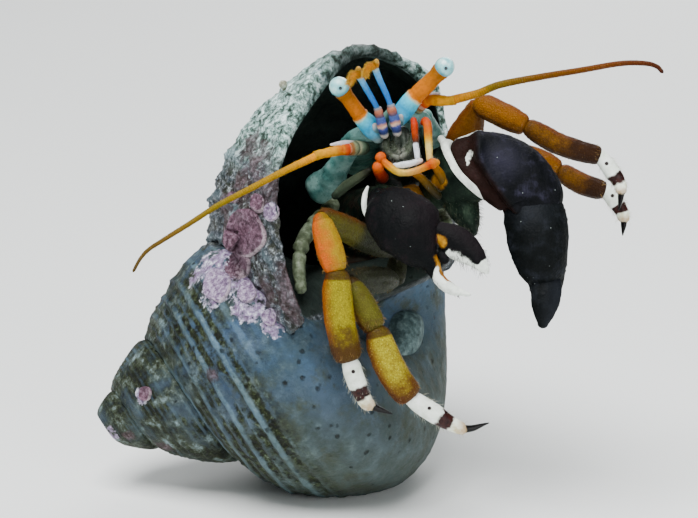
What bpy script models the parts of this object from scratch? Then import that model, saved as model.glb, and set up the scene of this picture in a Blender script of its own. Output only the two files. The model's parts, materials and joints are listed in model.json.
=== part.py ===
"""A hermit crab of the genus Calcinus, life size, leaning out of a turban snail's shell.

Lengths in the tables are millimetres. The frame: origin on the floor under the shell's body whorl, +X to the
crab's left, -Y to its front, +Z up. The crab and the shell's mouth are laid out in a second frame, the face
frame (across, up, out), which leans back by LEAN: across is +X, and out points forward and a little up.
"""
from math import cos, pi, radians, sin

import bmesh
import bpy
from mathutils import Matrix, Vector

MM = 0.001
GAP = 0.3                           # air between pieces that touch

# The face frame
LEAN = radians(14)
FACE_ORIGIN = Vector((1.3, 0.7, 22.7))
ACROSS = Vector((1, 0, 0))
UP = Vector((0, sin(LEAN), cos(LEAN)))
OUT = Vector((0, -cos(LEAN), sin(LEAN)))
BACKWARD = (-0.45 * ACROSS + 0.8 * UP - 0.4 * OUT).normalized()    # the way the crab's back faces

# The shell: a tube that doubles in size each turn round an axis
AXIS_RISE = radians(23.6)
ALONG = cos(AXIS_RISE) * ACROSS + sin(AXIS_RISE) * UP
OFF = -sin(AXIS_RISE) * ACROSS + cos(AXIS_RISE) * UP
APEX = (-27.2, -17.7, 0.0)          # where the spiral starts, in the face frame
GROWTH = 2.0                        # size of one whorl over the one before
TUBE_ALONG = 37.8                   # tube's middle, along the axis, at the mouth
TUBE_OFF = 12.3                     # tube's middle, off the axis, at the mouth
OUTER = (17.5, 10.6, 12.2, 12.0)    # tube's half sizes: toward the apex, the base, outward, inward
INNER = (16.0, 9.2, 10.2, 8.5)      # the same for the hollow
SHOULDER_FLAT = 0.06                # how far the whorl's shoulder is drawn in
WALL = 1.2                          # shell left between the hollow and the whorl before
WHORL_TURNS = (-1260, 85)           # degrees round the axis, with 0 at the mouth
WHORL_STEP = 15
WHORL_SIDES = 28
FUSE_SIZE = 0.7                     # voxels that fuse the whorls into one wall
FACES_KEPT = 0.068                  # share of the fused wall's faces that carry its shape
HOLLOW_TURNS = (-640, 95)
HOLLOW_STEP = 21
HOLLOW_SIDES = 16
HOLLOW_END = 0.1                    # how blunt the hollow's small end is
LIP_POINT = (26.8, 0.0, 17.6)       # the mouth's rim lies in a plane through here: along, off, out
LIP_SLOPE = 0.85
BASE_POINT = (41.7, 0.0, 0.0)       # the shell's front end is trimmed through here
BASE_SLOPE = 0.37
CUTTER_SIZE = 120

# The abdomen: a tube of even thickness, coiled in the hollow
ABDOMEN_RADIUS = 4.6
ABDOMEN_SHIFT = 0.5                 # toward the apex from the tube's middle
ABDOMEN_TURNS = (-230, -20)
ABDOMEN_STEP = 18
ABDOMEN_SIDES = 10
ABDOMEN_END = 0.12

# Shares of length and breadth
CAP_SHARE = 0.55                    # the small section that rounds a blunt end
CAP_REACH = 0.45                    # how far it stands out, as a share of the end's half size
CAP_LIMIT = 0.5                     # and at most, in millimetres
LIMB_SHAPE = ((0.0, 0.34), (0.045, 0.62), (0.14, 0.86), (0.38, 1.0),
              (0.7, 0.98), (0.88, 0.84), (0.96, 0.6), (1.0, 0.34))
DACTYL_SHAPE = (1.0, 1.0, 0.92, 0.8, 0.64, 0.48, 0.3)
DACTYL_START = 0.4                  # a dactyl's first section lies this far past the gap
END_SHARE = 0.62                    # breadth of a piece's rounded end, as a share of its own
SHARPEST_BEND = radians(140)

# Pieces as stations: across, up, out, half breadth, half thickness
THORAX = ((4.7, 10.3, 11.3, 1.9, 0.9), (5.0, 8.5, 8.5, 2.5, 1.6), (5.0, 6.6, 5.0, 2.8, 1.9),
          (4.4, 5.2, 1.5, 2.6, 2.2), (3.6, 5.2, -0.8, 2.4, 2.3))
SHIELD = ((3.6, 13.0, 12.6, 1.7, 0.7), (3.4, 12.0, 10.0, 3.0, 1.0), (3.1, 10.9, 7.0, 3.7, 1.2),
          (2.8, 9.9, 4.0, 3.4, 1.0))
MOUTH = ((4.9, 11.8, 13.4, 0.9, 0.6), (5.3, 10.6, 13.6, 1.0, 0.8), (5.6, 9.7, 13.8, 0.8, 0.6))
FLANKS = {
    "R": ((0.0, 10.4, 11.2, 0.8, 0.7), (-0.9, 9.2, 9.6, 1.0, 0.8), (-1.8, 7.7, 8.0, 1.4, 0.9),
          (-3.2, 6.7, 7.0, 1.5, 0.8)),
    "L": ((7.2, 13.8, 10.0, 0.8, 0.7), (7.9, 12.6, 7.6, 1.0, 0.8), (8.3, 11.6, 5.2, 1.1, 0.8)),
}
EYESTALKS = {
    "R": ((2.4, 12.1, 14.6, 0.8, 0.8), (1.3, 13.4, 15.3, 0.85, 0.85), (0.5, 14.4, 16.0, 0.75, 0.75),
          (-0.05, 15.1, 16.5, 0.8, 0.8)),
    "L": ((4.7, 13.5, 14.6, 0.8, 0.8), (6.1, 15.3, 15.2, 0.9, 0.9), (7.3, 16.4, 15.8, 0.85, 0.85),
          (7.9, 17.0, 16.2, 0.8, 0.8)),
}
EYES = {"R": (-0.9, 16.2, 17.4), "L": (9.0, 18.1, 16.9)}
EYE_RADIUS = 0.95
ANTENNULE_STEMS = {
    "R": ((3.4, 12.6, 16.2, 0.5, 0.5), (2.8, 14.1, 16.4, 0.35, 0.35), (1.9, 15.8, 17.0, 0.35, 0.35),
          (1.1, 17.0, 17.6, 0.35, 0.35)),
    "L": ((4.5, 12.9, 16.3, 0.5, 0.5), (4.0, 14.6, 16.4, 0.35, 0.35), (3.2, 16.5, 17.0, 0.35, 0.35),
          (2.5, 17.8, 17.7, 0.35, 0.35)),
}
ANTENNA_BASES = {
    "R": ((1.2, 10.7, 13.2, 0.75, 0.8), (-0.1, 10.4, 14.3, 0.7, 0.7), (-1.6, 10.2, 15.0, 0.6, 0.6),
          (-2.8, 9.9, 15.5, 0.5, 0.5)),
    "L": ((6.2, 14.2, 12.6, 0.7, 0.7), (6.8, 14.9, 13.6, 0.7, 0.7), (7.6, 15.1, 14.4, 0.6, 0.6),
          (9.6, 15.0, 15.2, 0.5, 0.5)),
}
MAXILLIPEDS = {
    "R": ((3.2, 7.8, 13.2, 0.75, 0.7), (2.9, 8.4, 15.4, 0.65, 0.7), (2.8, 9.4, 16.6, 0.6, 0.65)),
    "L": ((7.2, 9.5, 13.2, 0.6, 0.6), (6.8, 10.8, 14.6, 0.65, 0.6), (6.4, 12.6, 15.2, 0.55, 0.6)),
}
MAXILLIPED_PALPS = {
    "R": ((3.8, 8.8, 17.3, 0.42, 0.45), (4.6, 8.2, 17.4, 0.42, 0.45), (5.8, 8.4, 17.3, 0.42, 0.45),
          (7.2, 8.7, 17.0, 0.47, 0.5)),
    "L": ((7.6, 12.9, 15.6, 0.5, 0.5), (7.8, 11.3, 15.8, 0.5, 0.5), (7.9, 9.7, 15.6, 0.5, 0.5)),
}
CHELIPEDS = {
    "chela_L_base": ((9.2, 7.7, 7.0, 1.2, 1.2), (9.3, 7.8, 8.2, 1.4, 1.4)),
    "chela_L_merus": ((9.5, 7.9, 10.1, 1.7, 1.6), (10.5, 8.0, 11.4, 2.5, 2.1), (11.3, 7.9, 12.3, 2.8, 2.0)),
    "chela_L_carpus": ((12.7, 7.7, 13.5, 2.8, 1.9), (13.9, 8.2, 13.8, 3.1, 2.3), (15.5, 7.8, 14.0, 3.3, 2.5),
                       (17.0, 6.7, 14.2, 3.1, 2.5), (17.6, 5.4, 14.2, 2.8, 2.1)),
    "chela_L_palm": ((17.8, 3.7, 14.2, 2.6, 2.0), (18.1, 1.8, 14.4, 2.8, 2.5), (18.4, -0.1, 14.5, 2.35, 2.3),
                     (18.6, -1.7, 14.1, 1.7, 1.6), (18.7, -2.5, 13.4, 1.3, 0.8), (18.7, -4.4, 13.4, 0.85, 0.7),
                     (18.4, -5.5, 13.7, 0.5, 0.5)),
    "chela_L_finger": ((18.6, -2.9, 15.3, 1.3, 0.75), (18.6, -3.9, 15.4, 1.1, 0.85),
                       (18.4, -5.3, 15.4, 0.75, 0.7), (18.2, -6.1, 15.2, 0.4, 0.5)),
    "chela_R_base": ((6.2, 6.0, 10.2, 1.2, 1.0), (5.9, 5.7, 11.0, 1.3, 1.1)),
    "chela_R_merus": ((5.0, 5.2, 12.3, 1.4, 1.3), (4.1, 5.2, 13.6, 1.6, 1.5), (3.2, 5.2, 14.8, 1.6, 1.4)),
    "chela_R_carpus": ((2.3, 5.1, 16.2, 1.7, 1.0), (2.3, 5.0, 17.0, 2.0, 1.2), (2.4, 5.0, 17.7, 1.8, 1.0)),
    "chela_R_palm": ((3.1, 4.9, 19.8, 1.8, 1.1), (4.4, 3.9, 20.2, 2.9, 1.8), (5.6, 2.7, 20.6, 3.1, 2.2),
                     (6.7, 0.8, 20.8, 2.0, 1.8), (7.9, -0.4, 21.1, 1.15, 1.1), (8.9, -1.5, 21.4, 0.8, 0.8),
                     (9.9, -2.4, 21.7, 0.65, 0.7), (10.8, -2.9, 21.9, 0.45, 0.5)),
    "chela_R_finger": ((9.2, 2.1, 21.1, 1.2, 1.2), (10.0, 1.5, 21.4, 1.5, 1.05), (11.0, 0.8, 21.7, 1.35, 0.8),
                       (11.9, -0.1, 22.0, 0.9, 0.65), (12.6, -1.0, 22.2, 0.45, 0.45)),
}
SEEN_EDGE_ON = ("chela_R_carpus",)  # its own run is toward the front, so its flat side faces across
BROAD_PIECES = ("carpus", "palm")   # these get more sides

# Walking legs: joints from base to carpus, then the dactyl's path from its joint to its claw
LEGS = {
    "leg_R1": (((5.2, 3.9, 6.9), (4.0, 0.8, 9.8), (-2.7, 4.0, 17.5), (-1.2, -1.1, 18.2)),
               ((0.0, -9.5, 17.2), (0.8, -11.9, 16.4), (1.8, -13.7, 15.9), (4.1, -14.7, 15.6))),
    "leg_R2": (((5.4, 1.9, 3.9), (4.4, -2.0, 8.2), (0.1, -2.1, 15.8), (2.5, -6.6, 16.8)),
               ((5.8, -13.1, 16.0), (7.7, -14.4, 15.6), (10.8, -16.1, 15.0), (13.3, -15.6, 14.6))),
    "leg_L1": (((8.6, 8.8, 2.6), (10.6, 10.0, 4.6), (12.5, 15.1, 10.0), (17.0, 12.8, 11.0)),
               ((24.2, 9.9, 11.5), (25.2, 8.5, 11.8), (26.1, 6.8, 12.0), (25.9, 4.7, 12.2))),
    "leg_L2": (((8.5, 6.7, 0.0), (10.6, 7.4, 2.0), (16.8, 10.7, 4.5), (20.6, 8.7, 5.0)),
               ((25.2, 6.7, 5.5), (26.2, 5.6, 5.7), (26.9, 4.1, 6.0), (26.8, 2.3, 6.2))),
}
PROPODUS_BOWS = {"leg_R1": 0.3, "leg_R2": 0.4, "leg_L1": 0.4, "leg_L2": 0.3}
# Half breadth and half thickness of base, merus, carpus, propodus and dactyl, on each side of the crab
LEG_SIZES = {
    "R": ((0.9, 0.9), (1.4, 1.05), (1.25, 1.0), (1.45, 1.1), (0.95, 0.8)),
    "L": ((1.1, 1.0), (1.5, 1.05), (1.3, 1.0), (1.15, 0.95), (0.8, 0.7)),
}
SMALL_LEGS = {
    "R": ((-1.7, 5.3, 4.0, 0.8, 0.8), (-4.2, 2.2, 10.0, 0.7, 0.7), (-4.8, -0.3, 12.6, 0.6, 0.6),
          (-4.6, -2.8, 13.2, 0.5, 0.5)),
    "L": ((8.0, 5.6, -1.5, 0.8, 0.8), (9.0, 4.6, 2.0, 0.7, 0.7), (9.6, 3.6, 5.0, 0.5, 0.5)),
}

# Feelers: places along them, with the radius at each end
ANTENNULE_TIPS = {
    "R": ((0.7, 17.3, 18.0), (0.3, 17.1, 18.6), (0.0, 16.7, 19.0), (-0.3, 16.0, 19.3)),
    "L": ((2.1, 18.1, 18.1), (1.7, 17.9, 18.7), (1.4, 17.5, 19.1), (1.1, 16.8, 19.4)),
}
ANTENNULE_RADII = (0.3, 0.26)
ANTENNULE_POINTS = 6
ANTENNA_WHIPS = {
    "R": ((-3.4, 9.7, 15.8), (-6.1, 8.3, 17.0), (-9.3, 6.6, 18.0), (-12.3, 5.0, 19.0), (-14.9, 3.3, 19.8),
          (-17.1, 1.9, 20.5), (-18.6, 0.9, 21.0), (-19.4, 0.0, 21.3), (-20.0, -1.1, 21.5)),
    "L": ((10.2, 15.1, 15.4), (12.2, 15.7, 15.6), (14.3, 16.5, 16.0), (18.0, 17.2, 16.5), (21.8, 17.8, 17.0),
          (25.5, 18.4, 17.5), (27.8, 18.4, 17.9), (28.9, 18.1, 18.1), (29.4, 17.6, 18.2)),
}
ANTENNA_RADII = (0.45, 0.26)
ANTENNA_POINTS = 13

# Colour and roughness of each kind of piece
FINISHES = {
    "shell": ((0.20, 0.25, 0.26), 0.85),
    "abdomen": ((0.45, 0.36, 0.28), 0.6),
    "carapace": ((0.22, 0.34, 0.30), 0.35),
    "cornea": ((0.50, 0.82, 0.84), 0.1),
    "eyestalk": ((0.85, 0.33, 0.03), 0.3),
    "antennule stem": ((0.12, 0.38, 0.68), 0.3),
    "antennule tip": ((0.80, 0.42, 0.06), 0.4),
    "antenna": ((0.62, 0.25, 0.03), 0.4),
    "mouthpart": ((0.66, 0.20, 0.06), 0.3),
    "claw": ((0.03, 0.025, 0.035), 0.4),
    "arm": ((0.10, 0.13, 0.08), 0.4),
    "leg": ((0.42, 0.16, 0.02), 0.4),
    "dactyl": ((0.78, 0.80, 0.66), 0.4),
    "small leg": ((0.50, 0.58, 0.44), 0.5),
}


def at(across, up, out):
    """A place given in the face frame, in metres in the part's own frame."""
    return (FACE_ORIGIN + across * ACROSS + up * UP + out * OUT) * MM


def on_shell(along, off, out):
    """A place given by the shell's axis: along it from the apex, off it upward, and out of the mouth."""
    return at(*APEX) + (along * ALONG + off * OFF + out * OUT) * MM


def mesh_object(name, bm, collection):
    """Turn a finished bmesh into an object in this collection."""
    bmesh.ops.recalc_face_normals(bm, faces=bm.faces)
    mesh = bpy.data.meshes.new(name)
    bm.to_mesh(mesh)
    bm.free()
    piece = bpy.data.objects.new(name, mesh)
    collection.objects.link(piece)
    mesh.shade_smooth()
    mesh.set_sharp_from_angle(angle=radians(50))
    return piece


def paint(piece, kind):
    """Give a piece a material of its own in the colour and roughness of its kind."""
    colour, roughness = FINISHES[kind]
    material = bpy.data.materials.new(piece.name)
    material.use_nodes = True
    shader = material.node_tree.nodes["Principled BSDF"]
    shader.inputs["Base Color"].default_value = (*colour, 1.0)
    shader.inputs["Roughness"].default_value = roughness
    shader.inputs["Metallic"].default_value = 0.0
    piece.data.materials.clear()
    piece.data.materials.append(material)


def skin_rings(bm, rings):
    """Close a row of like-numbered rings of corners into one loft between unlike sections."""
    count = len(rings[0])
    for near, far in zip(rings, rings[1:]):
        for i in range(count):
            j = (i + 1) % count
            bm.faces.new((near[i], near[j], far[j], far[i]))
    bm.faces.new(rings[0])
    bm.faces.new(rings[-1])


def loft(name, rows, collection, flat=OUT, sides=8):
    """One closed piece through rows of (centre, half breadth, half thickness), its flat side facing `flat`."""
    bm = bmesh.new()
    rings = []
    centres = [row[0] for row in rows]
    for i, (centre, broad, thick) in enumerate(rows):
        run = (centres[min(i + 1, len(rows) - 1)] - centres[max(i - 1, 0)]).normalized()
        side = run.cross(flat).normalized()
        face = side.cross(run)
        turn = Matrix((side * broad * MM, face * thick * MM, run)).transposed().to_4x4()
        ring = bmesh.ops.create_circle(bm, segments=sides, radius=1.0, matrix=Matrix.Translation(centre) @ turn)
        rings.append(ring["verts"])
    skin_rings(bm, rings)
    return mesh_object(name, bm, collection)


def blunt(rows):
    """Round both ends of a row of sections with one smaller section each."""
    def cap(end, inner):
        centre, broad, thick = end
        run = (centre - inner[0]).normalized()
        reach = min(CAP_REACH * min(broad, thick), CAP_LIMIT)
        return (centre + run * reach * MM, broad * CAP_SHARE, thick * CAP_SHARE)
    return [cap(rows[0], rows[1]), *rows, cap(rows[-1], rows[-2])]


def blob(name, stations, collection, flat=OUT, sides=10):
    """A piece through stations of (across, up, out, half breadth, half thickness) in the face frame."""
    rows = [(at(*place), broad, thick) for *place, broad, thick in stations]
    return loft(name, blunt(rows), collection, flat, sides)


def smooth_route(places, count):
    """`count` places along a smooth curve (Catmull-Rom) through the given ones."""
    ends = [2 * places[0] - places[1], *places, 2 * places[-1] - places[-2]]
    route = []
    for i in range(count):
        share = i * (len(places) - 1) / (count - 1)
        k = min(int(share), len(places) - 2)
        t = share - k
        a, b, c, d = ends[k:k + 4]
        bend = (2 * a - 5 * b + 4 * c - d) * t ** 2 + (3 * (b - c) + d - a) * t ** 3
        route.append((2 * b + (c - a) * t + bend) / 2)
    return route


def pull_back(before, joint, after, radius):
    """How far two round ends of this radius stop short of a bent joint, to leave the gap between them."""
    bend = (joint - before).angle(after - joint)
    return (radius + GAP / 2) / cos(min(bend, SHARPEST_BEND) / 2) - radius


def limb_piece(name, start, end, broad, thick, collection, bow):
    """A limb's segment from start to end, fuller in the middle, bowed sideways by `bow`."""
    run = end - start
    side = run.normalized().cross(OUT).normalized()
    rows = []
    for share, breadth in LIMB_SHAPE:
        centre = start + run * share + side * (4 * bow * share * (1 - share) * MM)
        rows.append((centre, broad * breadth, thick * breadth))
    return loft(name, rows, collection)


def walking_leg(name, joints, claw, sizes, bow, collection):
    """Base, merus, carpus and propodus between joints, then a dactyl that bends to its claw.

    joints and claw are places in the face frame; sizes are (half breadth, half thickness) of each segment."""
    places = [at(*joint) for joint in joints]
    tip_places = [at(*place) for place in claw]
    chain = places + tip_places[:1]
    titles = ("base", "merus", "carpus", "propodus")
    for i, title in enumerate(titles):
        start, end = chain[i], chain[i + 1]
        run = (end - start).normalized()
        broad, thick = sizes[i]
        radius = END_SHARE * broad
        before = chain[i - 1] if i > 0 else start - run
        after = chain[i + 2] if i < len(titles) - 1 else tip_places[1]
        start = start + run * pull_back(before, start, end, radius) * MM
        end = end - run * pull_back(chain[i], end, after, radius) * MM
        segment = limb_piece(f"{name}_{title}", start, end, broad, thick, collection,
                             bow if title == "propodus" else 0)
        paint(segment, "leg")
    broad, thick = sizes[4]
    first = (tip_places[1] - tip_places[0]).normalized()
    route = [tip_places[0] + first * (GAP / 2 + DACTYL_START) * MM, *tip_places[1:]]
    route = smooth_route(route, len(DACTYL_SHAPE))
    rows = [(place, broad * share, thick * share) for place, share in zip(route, DACTYL_SHAPE)]
    dactyl = loft(f"{name}_dactyl", blunt(rows), collection)
    paint(dactyl, "dactyl")


def feeler(name, places, radii, count, collection, sides_level):
    """A tapering round feeler through places in the face frame, as a bevelled curve made into a mesh."""
    curve = bpy.data.curves.new(name, "CURVE")
    curve.dimensions = "3D"
    curve.bevel_depth = 1.0 * MM
    curve.bevel_resolution = sides_level
    curve.use_fill_caps = True
    spline = curve.splines.new("POLY")
    spline.points.add(count - 1)
    for i, place in enumerate(smooth_route([at(*place) for place in places], count)):
        spline.points[i].co = (*place, 1.0)
        spline.points[i].radius = radii[0] + (radii[1] - radii[0]) * i / (count - 1)
    wire = bpy.data.objects.new(name + "_curve", curve)
    bpy.context.scene.collection.objects.link(wire)
    bpy.context.view_layer.update()
    evaluated = wire.evaluated_get(bpy.context.evaluated_depsgraph_get())
    mesh = bpy.data.meshes.new_from_object(evaluated)
    bm = bmesh.new()
    bm.from_mesh(mesh)
    bmesh.ops.remove_doubles(bm, verts=bm.verts, dist=0.00001)
    bpy.data.objects.remove(wire)
    return mesh_object(name, bm, collection)


def tube_section(sizes, angle):
    """A corner of the egg-shaped section at this angle: distance toward the base, and outward."""
    along = cos(angle) * (sizes[1] if cos(angle) > 0 else sizes[0])
    off = sin(angle) * (sizes[2] if sin(angle) > 0 else sizes[3])
    flattened = 1 - SHOULDER_FLAT * max(0.0, -sin(2 * angle)) if sin(angle) > 0 else 1.0
    return along * flattened, off * flattened


def whorl_section(angle):
    return tube_section(OUTER, angle)


def clear_of_last_whorl(along, off):
    """Whether a place in the mouth's section is clear of the whorl before, with its wall."""
    along_gap = along - TUBE_ALONG / GROWTH
    off_gap = off - TUBE_OFF / GROWTH
    along_size = (OUTER[1] if along_gap > 0 else OUTER[0]) / GROWTH + WALL
    off_size = (OUTER[2] if off_gap > 0 else OUTER[3]) / GROWTH + WALL
    return (along_gap / along_size) ** 2 + (off_gap / off_size) ** 2 > 1


def hollow_section(angle):
    """A corner of the hollow's section, drawn in where it would cut the whorl before."""
    along, off = tube_section(INNER, angle)
    share = 1.0
    while share > 0.3 and not clear_of_last_whorl(TUBE_ALONG + along * share, TUBE_OFF + off * share):
        share -= 0.02
    return along * share, off * share


def spiral_tube(name, section, turns, step, sides, collection, end_share=None):
    """A tube that grows as it winds round the shell's axis. end_share rounds its small end."""
    bm = bmesh.new()
    rings = []
    first, last = turns
    steps = round((last - first) / step)
    for i in range(steps + 1):
        turn = first + (last - first) * i / steps
        grown = GROWTH ** (turn / 360)
        share = 1.0 if end_share is None else min(1.0, (end_share + 2 * i / steps) ** 0.5)
        ring = []
        for k in range(sides):
            along, off = section(2 * pi * k / sides)
            reach = (TUBE_OFF + off * share) * grown
            away = radians(turn)
            corner = on_shell((TUBE_ALONG + along * share) * grown, reach * cos(away), reach * sin(away))
            ring.append(bm.verts.new(corner))
        rings.append(ring)
    skin_rings(bm, rings)
    return mesh_object(name, bm, collection)


def half_space(name, point, normal, collection):
    """A block that covers everything beyond a plane, to cut with."""
    size = CUTTER_SIZE * MM
    bm = bmesh.new()
    turn = normal.to_track_quat("Z", "Y").to_matrix().to_4x4()
    place = Matrix.Translation(point + normal.normalized() * size / 2) @ turn
    bmesh.ops.create_cube(bm, size=size, matrix=place)
    block = mesh_object(name, bm, collection)
    block.hide_render = True
    block.display_type = "WIRE"
    return block


def bake(piece):
    """Put a piece's modifiers into its mesh."""
    bpy.context.view_layer.update()
    evaluated = piece.evaluated_get(bpy.context.evaluated_depsgraph_get())
    old = piece.data
    piece.data = bpy.data.meshes.new_from_object(evaluated)
    piece.modifiers.clear()
    bpy.data.meshes.remove(old)


def cut(piece, cutter):
    boolean = piece.modifiers.new("cut by " + cutter.name, "BOOLEAN")
    boolean.operation = "DIFFERENCE"
    boolean.solver = "EXACT"
    boolean.object = cutter


def make_shell(collection, cutters):
    """The turban shell: whorls fused into one wall, hollowed from the mouth, with its rim and base trimmed."""
    shell = spiral_tube("shell", whorl_section, WHORL_TURNS, WHORL_STEP, WHORL_SIDES, collection)
    fuse = shell.modifiers.new("fuse whorls", "REMESH")
    fuse.mode = "VOXEL"
    fuse.voxel_size = FUSE_SIZE * MM
    plain = shell.modifiers.new("fewer faces", "DECIMATE")
    plain.ratio = FACES_KEPT
    bake(shell)
    hollow = spiral_tube("cut_hollow", hollow_section, HOLLOW_TURNS, HOLLOW_STEP, HOLLOW_SIDES,
                         cutters, HOLLOW_END)
    hollow.hide_render = True
    hollow.display_type = "WIRE"
    lip_normal = LIP_SLOPE * ALONG + OUT
    base_normal = ALONG - BASE_SLOPE * OFF
    cut(shell, hollow)
    cut(shell, half_space("cut_lip", on_shell(*LIP_POINT), lip_normal, cutters))
    cut(shell, half_space("cut_base", on_shell(*BASE_POINT), base_normal, cutters))
    cut(shell, half_space("cut_floor", Vector((0, 0, 0)), Vector((0, 0, -1)), cutters))
    bake(shell)
    paint(shell, "shell")


def abdomen_section(angle):
    return ABDOMEN_RADIUS * cos(angle) - ABDOMEN_SHIFT, ABDOMEN_RADIUS * sin(angle)


def make_body(collection):
    """The soft abdomen in the shell's hollow, the thorax in its mouth, and the carapace's plates."""
    abdomen = spiral_tube("abdomen", abdomen_section, ABDOMEN_TURNS, ABDOMEN_STEP, ABDOMEN_SIDES,
                          collection, ABDOMEN_END)
    paint(abdomen, "abdomen")
    paint(blob("thorax", THORAX, collection, BACKWARD, 12), "carapace")
    paint(blob("shield", SHIELD, collection, BACKWARD, 12), "carapace")
    paint(blob("mouth", MOUTH, collection), "carapace")
    for side, stations in FLANKS.items():
        paint(blob("flank_" + side, stations, collection), "carapace")


def make_eyes(collection):
    """The eyestalks, each with its cornea at the end."""
    for side, stations in EYESTALKS.items():
        paint(blob("eyestalk_" + side, stations, collection, sides=8), "eyestalk")
    for side, place in EYES.items():
        bm = bmesh.new()
        where = Matrix.Translation(at(*place))
        bmesh.ops.create_icosphere(bm, subdivisions=2, radius=EYE_RADIUS * MM, matrix=where)
        paint(mesh_object("eye_" + side, bm, collection), "cornea")


def make_feelers(collection):
    """The two short antennules and the two long antennae."""
    for side, stations in ANTENNULE_STEMS.items():
        paint(blob("antennule_" + side, stations, collection, sides=6), "antennule stem")
    for side, places in ANTENNULE_TIPS.items():
        tip = feeler("antennule_tip_" + side, places, ANTENNULE_RADII, ANTENNULE_POINTS, collection, 1)
        paint(tip, "antennule tip")
    for side, stations in ANTENNA_BASES.items():
        paint(blob("antenna_base_" + side, stations, collection, sides=8), "antenna")
    for side, places in ANTENNA_WHIPS.items():
        whip = feeler("antenna_whip_" + side, places, ANTENNA_RADII, ANTENNA_POINTS, collection, 2)
        paint(whip, "antenna")


def make_mouthparts(collection):
    """The outermost mouthparts: a pair of jointed limbs, each an arm and a palp."""
    for side, stations in MAXILLIPEDS.items():
        paint(blob("maxilliped_" + side, stations, collection, sides=8), "mouthpart")
    for side, stations in MAXILLIPED_PALPS.items():
        paint(blob("maxilliped_palp_" + side, stations, collection, sides=8), "mouthpart")


def make_chelipeds(collection):
    """The two unequal limbs that carry the claws."""
    for name, stations in CHELIPEDS.items():
        flat = ACROSS if name in SEEN_EDGE_ON else OUT
        title = name.split("_")[-1]
        limb = blob(name, stations, collection, flat, 12 if title in BROAD_PIECES else 10)
        paint(limb, "arm" if title in ("base", "merus") else "claw")


def make_legs(collection):
    """Two pairs of walking legs and the small fourth pair, which braces inside the mouth."""
    for name, (joints, claw) in LEGS.items():
        side = name[4]
        walking_leg(name, joints, claw, LEG_SIZES[side], PROPODUS_BOWS[name], collection)
    for side, stations in SMALL_LEGS.items():
        paint(blob("small_leg_" + side, stations, collection, sides=8), "small leg")


for old in list(bpy.data.objects):
    bpy.data.objects.remove(old)
crab = bpy.data.collections.new("hermit_crab")
cutting = bpy.data.collections.new("cutters")
bpy.context.scene.collection.children.link(crab)
bpy.context.scene.collection.children.link(cutting)
make_shell(crab, cutting)
make_body(crab)
make_eyes(crab)
make_feelers(crab)
make_mouthparts(crab)
make_chelipeds(crab)
make_legs(crab)
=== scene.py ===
# %% [markdown]
# # A hermit crab leaning out of its shell
#
# A museum model of a small reef hermit crab, life size, in a borrowed turban snail's shell. The plain solids
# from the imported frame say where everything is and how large. This lesson gives each of them its real surface,
# from the corded shell to the short hairs. Everything is worked out in millimetres and turned into metres where
# a mesh is made.

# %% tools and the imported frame
import json
import random
from math import cos, exp, pi, radians, sin, sqrt

import bmesh
import bpy
from mathutils import Matrix, Vector, noise
from mathutils.bvhtree import BVHTree

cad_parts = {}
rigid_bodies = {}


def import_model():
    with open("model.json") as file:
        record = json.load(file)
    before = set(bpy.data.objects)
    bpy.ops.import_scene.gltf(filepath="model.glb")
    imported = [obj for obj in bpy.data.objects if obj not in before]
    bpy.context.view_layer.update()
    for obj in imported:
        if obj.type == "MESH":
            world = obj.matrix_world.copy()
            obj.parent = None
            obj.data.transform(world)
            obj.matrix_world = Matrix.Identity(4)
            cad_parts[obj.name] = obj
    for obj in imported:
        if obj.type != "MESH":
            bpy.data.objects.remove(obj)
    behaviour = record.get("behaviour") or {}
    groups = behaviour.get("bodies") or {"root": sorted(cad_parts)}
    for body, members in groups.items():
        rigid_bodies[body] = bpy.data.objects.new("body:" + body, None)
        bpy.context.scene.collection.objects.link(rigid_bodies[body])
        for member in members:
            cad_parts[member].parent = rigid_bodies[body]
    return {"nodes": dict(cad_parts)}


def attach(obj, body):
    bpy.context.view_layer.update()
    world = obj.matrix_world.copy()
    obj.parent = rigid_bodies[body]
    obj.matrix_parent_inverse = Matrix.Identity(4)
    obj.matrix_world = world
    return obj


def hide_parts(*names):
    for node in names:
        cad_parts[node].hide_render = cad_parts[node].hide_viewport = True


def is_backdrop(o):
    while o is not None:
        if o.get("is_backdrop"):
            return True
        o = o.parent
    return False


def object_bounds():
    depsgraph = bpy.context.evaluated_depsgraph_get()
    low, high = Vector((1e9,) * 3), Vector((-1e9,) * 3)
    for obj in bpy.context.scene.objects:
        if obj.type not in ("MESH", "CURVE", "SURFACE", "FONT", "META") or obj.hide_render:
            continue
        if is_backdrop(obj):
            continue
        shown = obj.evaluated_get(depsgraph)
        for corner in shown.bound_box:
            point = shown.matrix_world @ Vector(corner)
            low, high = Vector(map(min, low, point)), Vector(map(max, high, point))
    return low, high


for old in list(bpy.data.objects):
    bpy.data.objects.remove(old)
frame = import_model()
solid_box = [list(corner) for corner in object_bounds()]
MM = 0.001
print("plain solids:", len(frame["nodes"]), "box in mm:",
      [[round(x / MM, 1) for x in corner] for corner in solid_box])

# %% [markdown]
# ## Where things are
#
# A crab that leans out of a shell is awkward to describe along the floor's axes. It is easier to lean the
# drawing board back with it, and to measure across, up the board, and out of it toward the front. `at` turns
# such a place into the frame's own coordinates, and `board` turns it back.

# %% the leaning board
LEAN = radians(14)
BOARD_ORIGIN = Vector((1.3, 0.7, 22.7))
ACROSS = Vector((1, 0, 0))
UP = Vector((0, sin(LEAN), cos(LEAN)))
OUT = Vector((0, -cos(LEAN), sin(LEAN)))
BACKWARD = (-0.45 * ACROSS + 0.8 * UP - 0.4 * OUT).normalized()  # the way the crab's back faces


def at(across, up, out):
    """A place on the leaning board, in metres in the frame's coordinates."""
    return (BOARD_ORIGIN + across * ACROSS + up * UP + out * OUT) * MM


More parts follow.
